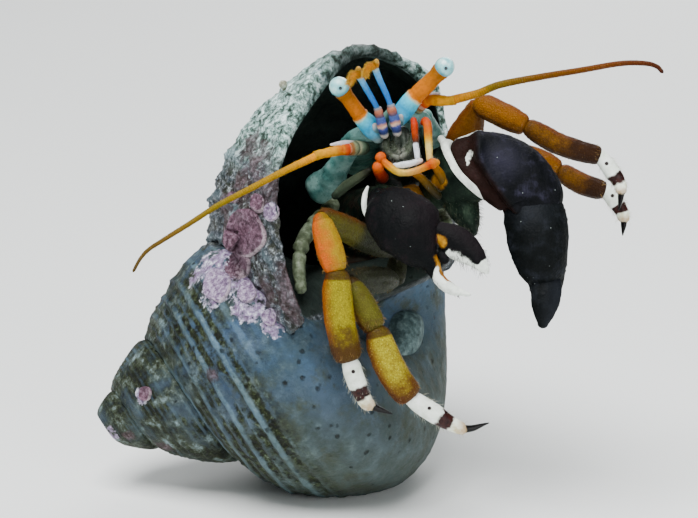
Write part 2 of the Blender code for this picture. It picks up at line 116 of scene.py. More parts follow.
def board(place):
    """A place in the frame, told as across, up and out in millimetres."""
    away = place / MM - BOARD_ORIGIN
    return away.dot(ACROSS), away.dot(UP), away.dot(OUT)


print("board's origin:", [round(x, 4) for x in at(0, 0, 0)])

# %% [markdown]
# ## Camera, floor and light
#
# The animal is seen from in front and a little above, through a long lens, which keeps the claw in front from
# looking larger than it is. The floor is one large pale sheet. A wide soft box overhead and two weaker ones
# give the wet parts long soft highlights and leave no hard shadow on the head.

# %% camera
VIEW_DISTANCE = 300
VIEW_WIDTH = 69.8  # millimetres seen across at the board
camera_data = bpy.data.cameras.new("camera")
camera_data.sensor_width = 36
camera_data.lens = camera_data.sensor_width * VIEW_DISTANCE / VIEW_WIDTH
camera_data.clip_start = 0.01
camera = bpy.data.objects.new("camera", camera_data)
camera.location = at(0, 0, VIEW_DISTANCE)
camera.rotation_euler = (pi / 2 - LEAN, 0, 0)
bpy.context.scene.collection.objects.link(camera)
bpy.context.scene.camera = camera
print("lens:", round(camera_data.lens, 1), "mm, camera height:", round(camera.location.z / MM), "mm")


# %% small helpers for objects
def link(name, data):
    """A new object at the origin."""
    piece = bpy.data.objects.new(name, data)
    bpy.context.scene.collection.objects.link(piece)
    return piece


def finished(name, bm, mend=True):
    """Turn a finished bmesh into a smooth-shaded object."""
    if mend:
        bmesh.ops.recalc_face_normals(bm, faces=bm.faces)
    mesh = bpy.data.meshes.new(name)
    bm.to_mesh(mesh)
    bm.free()
    mesh.shade_smooth()
    return link(name, mesh)


def wear(piece, material, slot, *nodes):
    """Give a piece its finish, hide the plain solids it stands for, and let it ride on the model's body."""
    piece.data.materials.clear()
    piece.data.materials.append(material)
    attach(piece, "root")
    if nodes:
        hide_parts(*nodes)
    return piece


# %% floor and light
def flat_material(name, colour, roughness):
    material = bpy.data.materials.new(name)
    material.use_nodes = True
    shader = material.node_tree.nodes["Principled BSDF"]
    shader.inputs["Base Color"].default_value = (*colour, 1)
    shader.inputs["Roughness"].default_value = roughness
    return material


bm = bmesh.new()
bmesh.ops.create_grid(bm, x_segments=1, y_segments=1, size=1.5)
floor = finished("floor", bm)
floor.data.materials.append(flat_material("pale floor", (0.88, 0.9, 0.89), 0.7))
floor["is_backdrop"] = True


def soft_box(name, place, target, size, power):
    """A square area light that looks at a target."""
    lamp = bpy.data.lights.new(name, "AREA")
    lamp.size = size
    lamp.energy = power
    box = link(name, lamp)
    box.location = place
    box.rotation_euler = (Vector(target) - Vector(place)).to_track_quat("-Z", "Y").to_euler()
    return box


middle = at(0, 0, 0)
soft_box("overhead", (-0.08, -0.16, 0.42), middle, 0.28, 4.3)
soft_box("front", (0.28, -0.42, 0.16), middle, 0.26, 1)
soft_box("behind", (0.1, 0.4, 0.26), middle, 0.3, 1.4)
world = bpy.data.worlds.new("studio")
world.use_nodes = True
world.node_tree.nodes["Background"].inputs["Color"].default_value = (0.72, 0.78, 0.8, 1)
world.node_tree.nodes["Background"].inputs["Strength"].default_value = 0.32
bpy.context.scene.world = world

# %% [markdown]
# ## Finishes
#
# Every surface here is natural, so no two square millimetres have the same colour. Each finish starts from a
# Principled shader. Its colour, roughness and relief come from noise and cells read at the object's own
# coordinates, or from marks that the modelling left on the mesh. A few short helpers keep these node graphs
# readable: `ground` is the colour so far, and `lay` lays the next one over it.

# %% helpers for node graphs
WET_DEPTH = 1.28  # power that deepens every colour


class Finish:
    """A material with its shader, and short ways to add nodes to it."""

    def __init__(self, name, roughness=0.4, coat=0, skin=0, skin_colour=None, shine=0.16):
        self.material = bpy.data.materials.new(name)
        self.material.use_nodes = True
        self.nodes = self.material.node_tree.nodes
        self.links = self.material.node_tree.links
        self.shader = self.nodes["Principled BSDF"]
        settings = {
            "Roughness": roughness, "Specular IOR Level": shine, "Coat Weight": coat, "Coat Roughness": 0.15}
        if skin:
            settings |= {
                "Subsurface Weight": skin, "Subsurface Scale": 0.0006, "Subsurface Radius": skin_colour}
        for name, value in settings.items():
            self.shader.inputs[name].default_value = value

    def set(self, socket, value):
        """Put a number, a colour or another node's output into a socket."""
        if isinstance(value, bpy.types.NodeSocket):
            self.links.new(value, socket)
        elif isinstance(value, tuple) and len(value) == 3 and socket.type == "RGBA":
            socket.default_value = (*value, 1)
        else:
            socket.default_value = value

    def node(self, kind, inputs=None, output=0, **settings):
        made = self.nodes.new(kind)
        for name, value in settings.items():
            setattr(made, name, value)
        for name, value in (inputs or {}).items():
            self.set(made.inputs[name], value)
        return made.outputs[output]

    def place(self):
        """The object's own coordinates, in metres."""
        return self.node("ShaderNodeTexCoord", output="Object")

    def mark(self, name):
        """A number that the modelling left on each point of the mesh."""
        return self.node("ShaderNodeAttribute", output="Fac", attribute_name=name)

    def noise(self, per_mm, detail=4, roughness=0.55, stretch=None):
        place = self.place()
        if stretch:
            place = self.node("ShaderNodeMapping", {"Vector": place, "Scale": stretch})
        return self.node(
            "ShaderNodeTexNoise",
            {"Vector": place, "Scale": per_mm / MM, "Detail": detail, "Roughness": roughness}, output="Fac")

    def cells(self, per_mm, feature="F1"):
        return self.node(
            "ShaderNodeTexVoronoi", {"Vector": self.place(), "Scale": per_mm / MM}, output="Distance",
            feature=feature)

    def steps(self, value, *stops):
        """A colour ramp through (position, red, green, blue)."""
        made = self.nodes.new("ShaderNodeValToRGB")
        points = made.color_ramp.elements
        while len(points) < len(stops):
            points.new(0.5)
        for point, (position, *colour) in zip(points, stops):
            point.position = position
            point.color = (*colour, 1)
        self.links.new(value, made.inputs["Fac"])
        return made.outputs["Color"]

    def ramp(self, value, low, high, out_low=0, out_high=1):
        """Stretch a number from one range to another, held at the ends."""
        return self.node(
            "ShaderNodeMapRange",
            {"Value": value, "From Min": low, "From Max": high, "To Min": out_low, "To Max": out_high})

    def sums(self, operation, a, b):
        return self.node("ShaderNodeMath", {0: a, 1: b}, operation=operation)

    def times(self, a, b):
        return self.sums("MULTIPLY", a, b)

    def plus(self, a, b):
        return self.sums("ADD", a, b)

    def spread(self, value, low=0, high=1):
        """Noise stretched over this range."""
        return self.ramp(value, 0.3, 0.7, low, high)

    def waver(self, value, noise, reach):
        """A value made uneven by noise, up to this reach either way."""
        return self.plus(value, self.spread(noise, -reach, reach))

    def blend(self, share, first, second):
        """Mix two colours by a share."""
        return self.node("ShaderNodeMix", {0: share, 6: first, 7: second}, output=2, data_type="RGBA")

    def relief(self, height, depth_mm, under=None):
        """Bump of a real depth in millimetres, over another bump if one is given."""
        inputs = {"Height": height, "Strength": 1, "Distance": depth_mm * MM}
        if under is not None:
            inputs["Normal"] = under
        return self.node("ShaderNodeBump", inputs)

    def lay(self, share, colour):
        """Lay a colour over the ground by a share."""
        self.ground = self.blend(share, self.ground, colour)

    def done(self, roughness, normal):
        """Deepen the ground a little, as a wet surface does, and join what was made to the shader."""
        wet = self.node("ShaderNodeGamma", {"Color": self.ground, "Gamma": WET_DEPTH})
        for socket, value in (("Base Color", wet), ("Roughness", roughness), ("Normal", normal)):
            self.set(self.shader.inputs[socket], value)
        return self.material


print("finish helper ready")

# %% [markdown]
# ## The shell's spiral
#
# A turban snail adds shell only at the rim of its mouth, and the rim keeps its shape while it grows and turns.
# So the whole shell is one outline, repeated: turned a few degrees, enlarged a little about the apex, again and
# again. A lathe could not make it. Here a circle is extruded ring after ring, and each ring's corners are put
# where the growing outline has them. The ridges, called cords, then wind round the whorls by themselves.

# %% the spiral's measures
AXIS_RISE = radians(23.6)
ALONG = cos(AXIS_RISE) * ACROSS + sin(AXIS_RISE) * UP
OFF = -sin(AXIS_RISE) * ACROSS + cos(AXIS_RISE) * UP
APEX = at(-27.2, -17.7, 0)
GROWTH = 2  # size of one whorl over the one before
TUBE_ALONG = 37.8
TUBE_OFF = 12.3
OUTER = (17.5, 10.6, 12.2, 12)  # half sizes toward the apex, the base, outward, inward
INNER = (16, 9.2, 10.2, 8.5)
SHOULDER_FLAT = 0.06
CALLUS = 1  # shell between the hollow and the whorl before
FIRST_TURN = -1110
APEX_DOME = 110  # degrees over which the tube opens from a point, so the tip is blunt
LAST_TURN = 85
JOIN_TURN = 40  # where the rings of the old whorls are counted from, since the rim itself slants
RIM_THICKNESS = 0.75
LIP_POINT = (26.8, 0, 17.6)
LIP_SLOPE = 0.85
BASE_REACH = 41.7
BASE_SLOPE = 0.37


def on_shell(along, off, out):
    """A place by the shell's axis, in millimetres from the apex, as metres in the frame."""
    return APEX + (along * ALONG + off * OFF + out * OUT) * MM


def wound(turn, along, off):
    """A corner of the outline, carried back or forward to this turn."""
    grown = GROWTH ** (turn / 360)
    away = radians(turn)
    return Vector((along * grown, off * grown * cos(away), off * grown * sin(away)))


def oval(sizes, angle, flat=SHOULDER_FLAT):
    """The outline at an angle: 0 is toward the base, 90 degrees outward, 180 toward the apex."""
    along = cos(angle) * (sizes[1] if cos(angle) > 0 else sizes[0])
    off = sin(angle) * (sizes[2] if sin(angle) > 0 else sizes[3])
    flattened = 1 - flat * max(0, -sin(2 * angle)) if sin(angle) > 0 else 1
    return TUBE_ALONG + along * flattened, TUBE_OFF + off * flattened


def hollow(angle):
    """The hollow's outline, drawn in where it would cut the whorl before."""
    along, off = oval(INNER, angle)
    share = 1
    while share > 0.3:
        a = TUBE_ALONG + (along - TUBE_ALONG) * share
        o = TUBE_OFF + (off - TUBE_OFF) * share
        a_gap, o_gap = a - TUBE_ALONG / GROWTH, o - TUBE_OFF / GROWTH
        a_size = (OUTER[1] if a_gap > 0 else OUTER[0]) / GROWTH + CALLUS
        o_size = (OUTER[2] if o_gap > 0 else OUTER[3]) / GROWTH + CALLUS
        if (a_gap / a_size) ** 2 + (o_gap / o_size) ** 2 > 1:
            break
        share -= 0.02
    return a, o


def rim_turn(angle):
    """The turn at which this line of the outline reaches the slanting plane of the mouth."""
    along, off = oval(OUTER, angle)
    for turn in range(-90, LAST_TURN):
        place = wound(turn, along, off)
        if LIP_SLOPE * (place.x - LIP_POINT[0]) + place.z - LIP_POINT[2] > 0:
            return float(turn)
    return float(LAST_TURN)


# The outline's lines lie close together where the cords are, and further apart where they are hidden
LINES = [
    radians(a)
    for a in [
        *(80 + 1.05 * i for i in range(100)), *(185 + 9.6 * i for i in range(16)),
        *(339 + 2.6 * i for i in range(39))]]
rims = [rim_turn(angle) for angle in LINES]
for again in range(6):
    rims = [(rims[i - 1] + 2 * rims[i] + rims[(i + 1) % len(rims)]) / 4 for i in range(len(rims))]
hollows = [hollow(angle) for angle in LINES]
for again in range(4):
    hollows = [
        tuple((hollows[i - 1][k] + 2 * hollows[i][k] + hollows[(i + 1) % len(LINES)][k]) / 4 for k in (0, 1))
        for i in range(len(LINES))]
print("outline lines:", len(LINES), "rim from turn", round(min(rims)), "to", round(max(rims)))


# %% the surface's relief
CORD_PITCH = radians(18.5)  # from one strong cord to the next, round the outline
FIRST_CORD = radians(178)
OLD_FLAT = 0.13  # how much flatter the shoulders of the old whorls are
OLD_WHORLS = (230, 420)  # degrees behind the rim over which the wall turns old and lumpy


def fade(low, high, value):
    share = min(1, max(0, (value - low) / (high - low)))
    return share * share * (3 - 2 * share)


def cord_height(angle):
    """From 0 in a groove to 1 on a strong cord, a weak cord between two strong ones, and how strongly they show."""
    degrees = angle * 180 / pi
    count = (FIRST_CORD - angle) / CORD_PITCH
    strong = exp(-((count - round(count)) / 0.17) ** 2)
    half = count + 0.5
    weak = 0.6 * exp(-((half - round(half)) / 0.12) ** 2)
    strength = fade(198, 186, degrees) * (0.16 + 0.84 * fade(104, 128, degrees))
    if degrees < 90 or degrees > 330:
        strength = 0.1
    return max(strong, weak), strength


def facing(turn, middle, width):
    """A smooth hump round the section, with the middle in degrees."""
    away = (turn * 180 / pi - middle + 180) % 360 - 180
    return exp(-(away / width) ** 2)


def rough(place, per_mm, octaves=3):
    """Noise from -1 to 1 at this many waves per millimetre."""
    return noise.fractal(place * per_mm / MM, 0.9, 2, octaves, noise_basis="PERLIN_ORIGINAL")


def press_base(place):
    """Round the shell's front end off softly where the whorl would reach past it."""
    beyond = place.x - BASE_SLOPE * place.y - BASE_REACH
    soft = 2.2
    if beyond > -soft:
        beyond_new = -soft + soft * (1 - exp(-(beyond + soft) / soft))
        shift = (beyond_new - beyond) / (1 + BASE_SLOPE ** 2)
        place = place + Vector((shift, -BASE_SLOPE * shift, 0))
    return place


print("strong cords at the last whorl, mm apart:", round(CORD_PITCH * 16, 2))


# %% growing the shell
def shell_ring_turns(start, end, finest):
    """Turns for the rings: as the whorls get smaller toward the apex, the rings lie further apart in degrees."""
    turns = [end]
    while turns[-1] > start:
        turns.append(turns[-1] - min(7.5, finest * GROWTH ** ((end - turns[-1]) / 500)))
    return list(reversed(turns))


def next_ring(bm, edges):
    """Extrude the open ring once and return its new edges and corners."""
    made = bmesh.ops.extrude_edge_only(bm, edges=edges)["geom"]
    new_edges = [part for part in made if isinstance(part, bmesh.types.BMEdge)]
    return new_edges, [part for part in made if isinstance(part, bmesh.types.BMVert)]


def first_ring(bm, sides, spoke):
    """A circle whose corners carry their own numbers. Returns its edges and corners."""
    corners = list(bmesh.ops.create_circle(bm, segments=sides, radius=MM)["verts"])
    for i, corner in enumerate(corners):
        corner[spoke] = i
    return list(bm.edges), corners


def grow_rings(bm, sides, spoke, plan):
    """A circle, extruded once for each later row of the plan. Each ring's corners are handed out with their row."""
    edges, corners = first_ring(bm, sides, spoke)
    for number, row in enumerate(plan):
        if number:
            edges, corners = next_ring(bm, edges)
        yield row, corners


def close_ends(bm, pull=True):
    """Fill each open ring with one face, and pull the face together at its middle."""
    filled = bmesh.ops.edgeloop_fill(bm, edges=[edge for edge in bm.edges if edge.is_boundary])["faces"]
    if pull:
        bmesh.ops.poke(bm, faces=filled)


def outside_corner(line, behind):
    """A corner of the outer wall, this many degrees behind the rim, and the marks it carries."""
    angle = LINES[line]
    slant = fade(900, 60, behind)
    turn = rims[line] * slant + JOIN_TURN * (1 - slant) - behind
    old = fade(*OLD_WHORLS, behind)
    along, off = oval(OUTER, angle, SHOULDER_FLAT + OLD_FLAT * old)
    wave, strength = cord_height(angle)
    size = GROWTH ** (turn / 360)
    tip = sqrt(1 - fade(APEX_DOME, 0, turn - FIRST_TURN) ** 2)
    plain = wound(turn, along, off)
    spot = on_shell(*plain)
    across, up, out = board(spot)
    in_front = fade(-20, -11, out)
    lip = fade(42 + 26 * in_front, 16 + 18 * in_front, behind)
    lip = max(lip, fade(-10.6, -11.6, across) * fade(0.6, 1.6, up))
    worn = fade(-0.1, 0.5, rough(spot, 0.16, 2))
    rise = 0.7 * size * strength * (wave - 0.3) * (1 - 0.5 * worn) * (1 - 0.8 * fade(95, 35, behind))
    grow = 0.1 * size * rough(Vector((turn * 0.0006, angle * 0.0012, 0)), 1, 2)
    rise += grow + (0.15 * size * rough(spot, 0.45) + 0.09 * rough(spot, 1.3, 2)) * (1 + 2.2 * lip)
    rise += old * (0.3 * rough(spot, 0.75) + 0.14 * rough(spot, 1.8, 2)) * fade(0.05, 0.35, size)
    pit = fade(0.15, 0.5, noise.noise(spot * 1.1 / MM)) * (1 - wave)
    rise -= 0.3 * pit * strength * size
    away = 1 + rise / sqrt((along - TUBE_ALONG) ** 2 + (off - TUBE_OFF) ** 2)
    along = TUBE_ALONG + (along - TUBE_ALONG) * away * tip
    off = TUBE_OFF + (off - TUBE_OFF) * away * tip
    return press_base(wound(turn, along, off)), {
        "cord": wave, "corded": max(strength, 0.8 * old), "lip": lip, "inside": 0, "old": old}


def inside_corner(line, behind):
    """A corner of the hollow, this many degrees behind the rim."""
    turn = rims[line] - behind
    along, off = hollows[line]
    outer_along, outer_off = oval(OUTER, LINES[line])
    wall = RIM_THICKNESS + 1.25 * facing(LINES[line], 104, 24)
    thin = 1 - wall / sqrt((outer_along - TUBE_ALONG) ** 2 + (outer_off - TUBE_OFF) ** 2)
    degrees = LINES[line] * 180 / pi % 360
    free_lip = fade(332, 350, degrees) if degrees > 300 else fade(196, 176, degrees)
    share = free_lip * fade(34, 2, behind)
    along = along * (1 - share) + (TUBE_ALONG + (outer_along - TUBE_ALONG) * thin) * share
    off = off * (1 - share) + (TUBE_OFF + (outer_off - TUBE_OFF) * thin) * share
    place = press_base(wound(turn, along, off)) - Vector((0.5, 0, 0)) * fade(20, 0, behind)
    return place, {"cord": 0, "corded": 0, "lip": fade(8, 3, behind), "inside": fade(1, 5, behind), "old": 0}


def grow_shell():
    """One closed surface: from the apex out to the rim, round it, and back down the hollow."""
    bm = bmesh.new()
    layers = {
        name: bm.verts.layers.float.new(name) for name in ("line", "cord", "corded", "lip", "inside", "old")}
    edges, corners = first_ring(bm, len(LINES), layers["line"])

    def put(corners, corner_at, behind):
        for corner in corners:
            place, marks = corner_at(int(corner[layers["line"]] + 0.5), behind)
            corner.co = on_shell(*place)
            for name, value in marks.items():
                corner[layers[name]] = value

    outward = [JOIN_TURN - turn for turn in shell_ring_turns(FIRST_TURN, JOIN_TURN, 2.1)]
    put(corners, outside_corner, JOIN_TURN - FIRST_TURN)
    bmesh.ops.contextual_create(bm, geom=edges)
    for behind in outward[1:]:
        edges, corners = next_ring(bm, edges)
        put(corners, outside_corner, max(0, behind))
    edges, corners = next_ring(bm, edges)
    for corner in corners:
        line = int(corner[layers["line"]] + 0.5)
        outer, inner, further = (
            corner_at(line, behind)[0]
            for corner_at, behind in ((outside_corner, 0), (inside_corner, 0), (outside_corner, -1.2)))
        middle = on_shell(*((outer + inner) / 2))
        ahead = (on_shell(*further) - on_shell(*outer)).normalized()
        corner.co = middle + ahead * (0.32 + 0.25 * rough(middle, 0.5, 2)) * MM
        corner[layers["lip"]] = 1
    for behind in [0, 2, 4.5, 8, 12, 17, 23, 30, 38, 47, 57, *range(68, 420, 11)]:
        edges, corners = next_ring(bm, edges)
        put(corners, inside_corner, behind)
    bmesh.ops.contextual_create(bm, geom=edges)
    bmesh.ops.triangulate(bm, faces=[face for face in bm.faces if len(face.verts) > 4])
    return bm


bm = grow_shell()
SHARPEST = 0.4  # millimetres that a corner may stand out from its neighbours
for number in range(6):
    sharp = []
    for corner in bm.verts:
        around = [edge.other_vert(corner).co for edge in corner.link_edges]
        if (corner.co - sum(around, Vector()) / len(around)).length > SHARPEST * MM:
            sharp += [corner] + [edge.other_vert(corner) for edge in corner.link_edges]
    sharp = list(set(sharp))
    bmesh.ops.smooth_vert(bm, verts=sharp, factor=0.5, use_axis_x=True, use_axis_y=True, use_axis_z=True)
    print("corners softened:", len(sharp), end="; ")
for corner in bm.verts:
    corner.co.z = max(corner.co.z, 0)
shell = finished("shell_wall", bm)
print("shell faces:", len(shell.data.polygons), "box:", [round(x / MM, 1) for x in shell.dimensions])

# %% [markdown]
# ## The shell's finish
#
# An old shell under water is never clean. Its wall is blue-grey, paler on the worn cords, with olive algae in
# the grooves and pits. Pink and lilac patches are coralline algae, which grow as thin hard crusts. The rim is
# chalky and greenish white. The inside is painted dark as shade in the deep hollow, and the front of the wall
# under the crab is painted darker as its shade. The colours follow the marks left on the mesh while it
# grew; the rest is noise of three sizes.

# %% shell finish
def shell_finish():
    f = Finish("shell", roughness=0.6)
    cord, corded = f.mark("cord"), f.mark("corded")
    lip, inside, old = f.mark("lip"), f.mark("inside"), f.mark("old")
    broad = f.noise(0.12, 3)
    medium = f.noise(0.45, 5, 0.65)
    fine = f.noise(1.6, 6, 0.7)
    f.ground = f.steps(
        f.spread(medium), (0, 0.016, 0.026, 0.032), (0.4, 0.05, 0.08, 0.098), (0.7, 0.1, 0.15, 0.18),
        (1, 0.23, 0.31, 0.34))
    f.lay(f.ramp(broad, 0.4, 0.6, 0, 0.7), f.blend(medium, (0.048, 0.078, 0.15), (0.16, 0.235, 0.38)))
    rightward = f.ramp(f.node("ShaderNodeSeparateXYZ", {"Vector": f.place()}, output="X"), -0.01, 0.008)
    f.lay(
        f.times(rightward, f.spread(medium, 0.85, 0.3)),
        f.blend(fine, (0.036, 0.052, 0.048), (0.15, 0.19, 0.175)))
    height = f.node("ShaderNodeSeparateXYZ", {"Vector": f.place()}, output="Z")
    high = f.times(f.ramp(height, 0.01, 0.017), f.ramp(medium, 0.34, 0.62, 0.72, 0.05))
    f.lay(high, f.blend(fine, (0.045, 0.095, 0.17), (0.19, 0.32, 0.46)))
    low = f.ramp(height, 0.016, 0.004)
    f.lay(f.times(low, 0.6), f.blend(medium, (0.04, 0.052, 0.03), (0.2, 0.24, 0.19)))
    f.lay(
        f.ramp(f.noise(0.3, 5, 0.65), 0.5, 0.62, 0, 0.75),
        f.blend(fine, (0.03, 0.036, 0.02), (0.14, 0.16, 0.12)))
    olive = f.steps(
        fine, (0.42, 0.003, 0.005, 0.002), (0.5, 0.03, 0.04, 0.013), (0.57, 0.08, 0.1, 0.045),
        (0.68, 0.26, 0.33, 0.27))
    crest = f.steps(fine, (0.25, 0.12, 0.22, 0.28), (0.5, 0.27, 0.43, 0.52), (0.8, 0.52, 0.7, 0.76))
    patchy = f.times(
        f.ramp(corded, 0.12, 0.6), f.ramp(f.plus(f.noise(0.75, 5, 0.65), f.noise(0.18, 3)), 0.86, 1.02))
    edge = f.plus(f.waver(cord, fine, 0.3), f.spread(medium, 0.22, -0.22))
    groove = f.times(f.ramp(edge, 0.62, 0.34), patchy)
    f.lay(groove, olive)
    ridge = f.times(f.ramp(f.plus(cord, f.spread(medium, -0.35, 0.2)), 0.48, 0.8), f.ramp(corded, 0.15, 0.6))
    ridge = f.times(ridge, f.ramp(old, 0, 1, 0.95, 0.4))
    ridge = f.times(ridge, f.ramp(height, 0.005, 0.024, 0.22, 1))
    f.lay(ridge, crest)
    aged = f.steps(
        f.noise(0.7, 7, 0.72), (0.42, 0.005, 0.007, 0.003), (0.5, 0.034, 0.043, 0.016),
        (0.57, 0.11, 0.13, 0.1), (0.65, 0.24, 0.32, 0.33), (0.76, 0.52, 0.64, 0.67))
    f.lay(f.times(old, f.ramp(f.noise(0.35, 4), 0.36, 0.56, 0.35, 0.9)), aged)
    specks = f.ramp(f.waver(f.cells(0.7), fine, 0.1), 0.2, 0.08)
    specks = f.times(specks, f.ramp(f.noise(0.2, 3), 0.4, 0.54))
    f.lay(f.times(specks, 0.8), (0.022, 0.026, 0.022))
    ragged = f.noise(0.8, 6, 0.7)
    crust_edge = f.plus(f.mark("lilac"), f.ramp(ragged, 0.35, 0.65, -0.75, 0.4))
    lilac = f.steps(
        fine, (0.32, 0.09, 0.05, 0.08), (0.45, 0.24, 0.16, 0.28), (0.55, 0.4, 0.35, 0.48),
        (0.66, 0.8, 0.82, 0.88))
    f.lay(f.ramp(crust_edge, 0.4, 0.62), lilac)
    rim_white = f.times(f.ramp(crust_edge, 0.42, 0.48), f.ramp(crust_edge, 0.58, 0.5))
    f.lay(f.times(rim_white, 0.25), (0.66, 0.66, 0.66))
    chalk = f.steps(
        f.noise(1.1, 8, 0.8), (0.36, 0.012, 0.02, 0.013), (0.445, 0.1, 0.16, 0.13), (0.505, 0.36, 0.51, 0.48),
        (0.6, 0.88, 1, 1))
    chalk_share = f.times(
        f.ramp(f.waver(lip, f.noise(0.2, 6, 0.7), 0.5), 0.3, 0.75),
        f.ramp(f.waver(f.mark("chalk"), ragged, 0.3), 0.1, 0.75, 0.06, 1))
    f.lay(chalk_share, chalk)
    stain = f.steps(
        f.noise(1.9, 7, 0.8), (0.4, 0.012, 0.012, 0.01), (0.48, 0.065, 0.064, 0.055), (0.55, 0.2, 0.2, 0.22),
        (0.64, 0.66, 0.74, 0.76))
    stain_share = f.times(f.ramp(lip, 0.3, 0.9), f.ramp(f.mark("chalk"), 0.85, 0.25, 0, 0.75))
    f.lay(stain_share, stain)
    rose_share = f.plus(f.mark("rose"), f.spread(ragged, 0.45, -0.55))
    rose = f.steps(
        fine, (0.34, 0.03, 0.016, 0.017), (0.48, 0.095, 0.058, 0.062), (0.6, 0.24, 0.17, 0.2),
        (0.74, 0.55, 0.52, 0.56))
    f.lay(f.ramp(rose_share, 0.44, 0.74, 0, 0.72), rose)
    # Painted shade: the wall under the crab is laid darker, as the crab shades it.
    dim = f.times(f.mark("dim"), f.spread(medium, 1, 0.55))
    f.lay(dim, f.blend(fine, (0.012, 0.016, 0.014), (0.05, 0.062, 0.056)))
    # Painted shade: the inside of the shell is laid dark, as the deep hollow lies in shade.
    hollow_shade = f.steps(f.noise(0.25, 4), (0.3, 0.022, 0.034, 0.03), (0.7, 0.075, 0.1, 0.088))
    inner = f.spread(f.waver(inside, medium, 0.25))
    f.lay(inner, hollow_shade)
    relief = f.relief(f.plus(fine, f.times(specks, -0.9)), 0.3)
    relief = f.relief(f.noise(4.5, 3), 0.05, relief)
    return f.done(f.spread(fine, 0.42, 0.75), relief)


shell_material = shell_finish()
print("shell finish nodes:", len(shell_material.node_tree.nodes))

# %% [markdown]
# ## Where the crusts lie
#
# The crusts are placed by looking straight at the board: a ray from the front meets the shell at each chosen
# place, and the points near it get a share of lilac or dull rose. The chalk of the rim is marked by how high it
# stands. These are marks, not pictures, so they bend with the wall.

# %% marks for crust and chalk
LILAC = (
    (-12.6, 0.2, 1.8), (-12.8, -3, 2), (-9.8, -4.4, 1.8), (-7.4, -6, 1.5), (-10.4, -1.8, 1.8),
    (-14.2, -1.2, 1.7), (-12, -1.4, 2), (-8.6, -3.6, 1.8), (-10.4, 3.4, 1.5), (-20.3, -13.4, 0.9),
    (-8.6, 8.4, 1.6), (-23.6, -17.4, 1))
ROSE = (
    (-9.8, 2.2, 2.6), (-10.6, -0.4, 1.8), (-6, -2.4, 2.2), (-5.6, -4.4, 2.2), (-7.6, -3.2, 2),
    (-18.4, -18.6, 1), (-8, 6.4, 2.6), (-9.6, 11, 2.4), (-10.6, 7, 2.4), (-13.2, -11.2, 0.9),
    (-21.8, -17.6, 0.8), (-8.6, 9.6, 2), (-5.2, -5.4, 1.6), (-11.9, 4.4, 2.2), (-11.7, 2.2, 1.8))
shell_tree = BVHTree.FromObject(shell, bpy.context.evaluated_depsgraph_get())


def on_front(across, up):
    """Where the shell is met when looking straight at this place of the board, and which way the wall faces."""
    return shell_tree.ray_cast(at(across, up, 60), -OUT)[:2]


def mark_shell(name, value_at):
    """Mark every corner of the shell with a value worked out from its place."""
    layer = shell.data.attributes.new(name, "FLOAT", "POINT")
    layer.data.foreach_set("value", [value_at(corner.co) for corner in shell.data.vertices])


def patches(places):
    """A mark of 1 at the middle of each patch, and 0 outside them all."""
    middles = [(on_front(across, up)[0], size * MM) for across, up, size in places]
    return lambda place: max(
        0, *(1 - ((place - middle).length / size) ** 2 * 0.5 for middle, size in middles if middle))


def shade_under_crab(place):
    """Painted shade: the front of the wall under the crab, laid darker."""
    across, up, out = board(place)
    return fade(-12, -7.5, up) * fade(-4, 0, across) * fade(12.5, 10, across) * fade(0, 4, out)


mark_shell("lilac", patches(LILAC))
mark_shell("rose", patches(ROSE))
mark_shell("chalk", lambda place: fade(2, 12, board(place)[1] + 0.25 * board(place)[0]))
mark_shell("dim", shade_under_crab)
wear(shell, shell_material, "snail_shell", "shell")
print("lilac patches:", len(LILAC), "rose patches:", len(ROSE))

# %% [markdown]
# The oldest crusts stand up from the wall as thin lobed plates with a pale raised edge, which a mark can't
# show. So each is a circle, extruded outward ring after ring, with every corner dropped onto the wall and
# lifted by the plate's profile. A rounded lump near the shell's base and a small stalked knob on the rim are
# made too.

# %% crust plates
PLATES = (
    ("rose", -9.9, 2.4, 2, 3), ("rose", -10.6, -0.6, 1.15, 2), ("rose", -8.65, 5.2, 0.72, 2),
    ("lilac", -7.3, 4.4, 0.72, 2), ("rose", -11.1, 5.9, 0.5, 2), ("lilac", -12.7, -2.6, 1.35, 4),
    ("lilac", -9.8, -3.2, 0.9, 3), ("rose", -19.9, -13.2, 0.6, 2), ("lilac", -7.6, -5.6, 0.7, 3))
PLATE_PROFILE = (
    (0.12, 0.1), (0.3, 0.11), (0.5, 0.13), (0.68, 0.17), (0.82, 0.24), (0.9, 0.3), (0.96, 0.31), (1, 0.24),
    (1.02, 0.1), (1, -0.12))
PLATE_SIDES = 56
RIM_LIT = 320  # degrees round a plate where its edge is palest: a painted highlight on that side


def drop(place):
    """The wall behind a place, seen straight from the front."""
    hit = shell_tree.ray_cast(place + OUT * 6 * MM, -OUT)[0]
    return hit if hit and (hit - place).length < 5 * MM else place


def crust_plate(name, across, up, size, lobes, height=1, profile=PLATE_PROFILE):
    """A thin lobed plate on the wall where it is met from the front."""
    middle, facing_out = on_front(across, up)
    bm = bmesh.new()
    spoke, rim = bm.verts.layers.float.new("spoke"), bm.verts.layers.float.new("rim")
    for (share, lift), corners in grow_rings(bm, PLATE_SIDES, spoke, profile):
        for corner in corners:
            turn = 2 * pi * corner[spoke] / PLATE_SIDES
            lobed = 1 + 0.05 * sin(lobes * turn + across) + 0.03 * sin((lobes + 2) * turn + up)
            reach = size * share * lobed * MM
            place = middle + (ACROSS * cos(turn) + UP * sin(turn) * 1.15) * reach
            wave = 0.015 * sin(11 * turn) * share + 0.05 * rough(place, 1.1, 2)
            corner.co = drop(place) + facing_out * (lift * height + wave) * MM
            # The rim mark: a pale raised edge, which is real, and palest toward RIM_LIT, which is a painted
            # highlight.
            corner[rim] = fade(0.8, 0.97, share) * (0.45 + 0.55 * facing(turn, RIM_LIT, 80))
    close_ends(bm)
    return finished(name, bm)


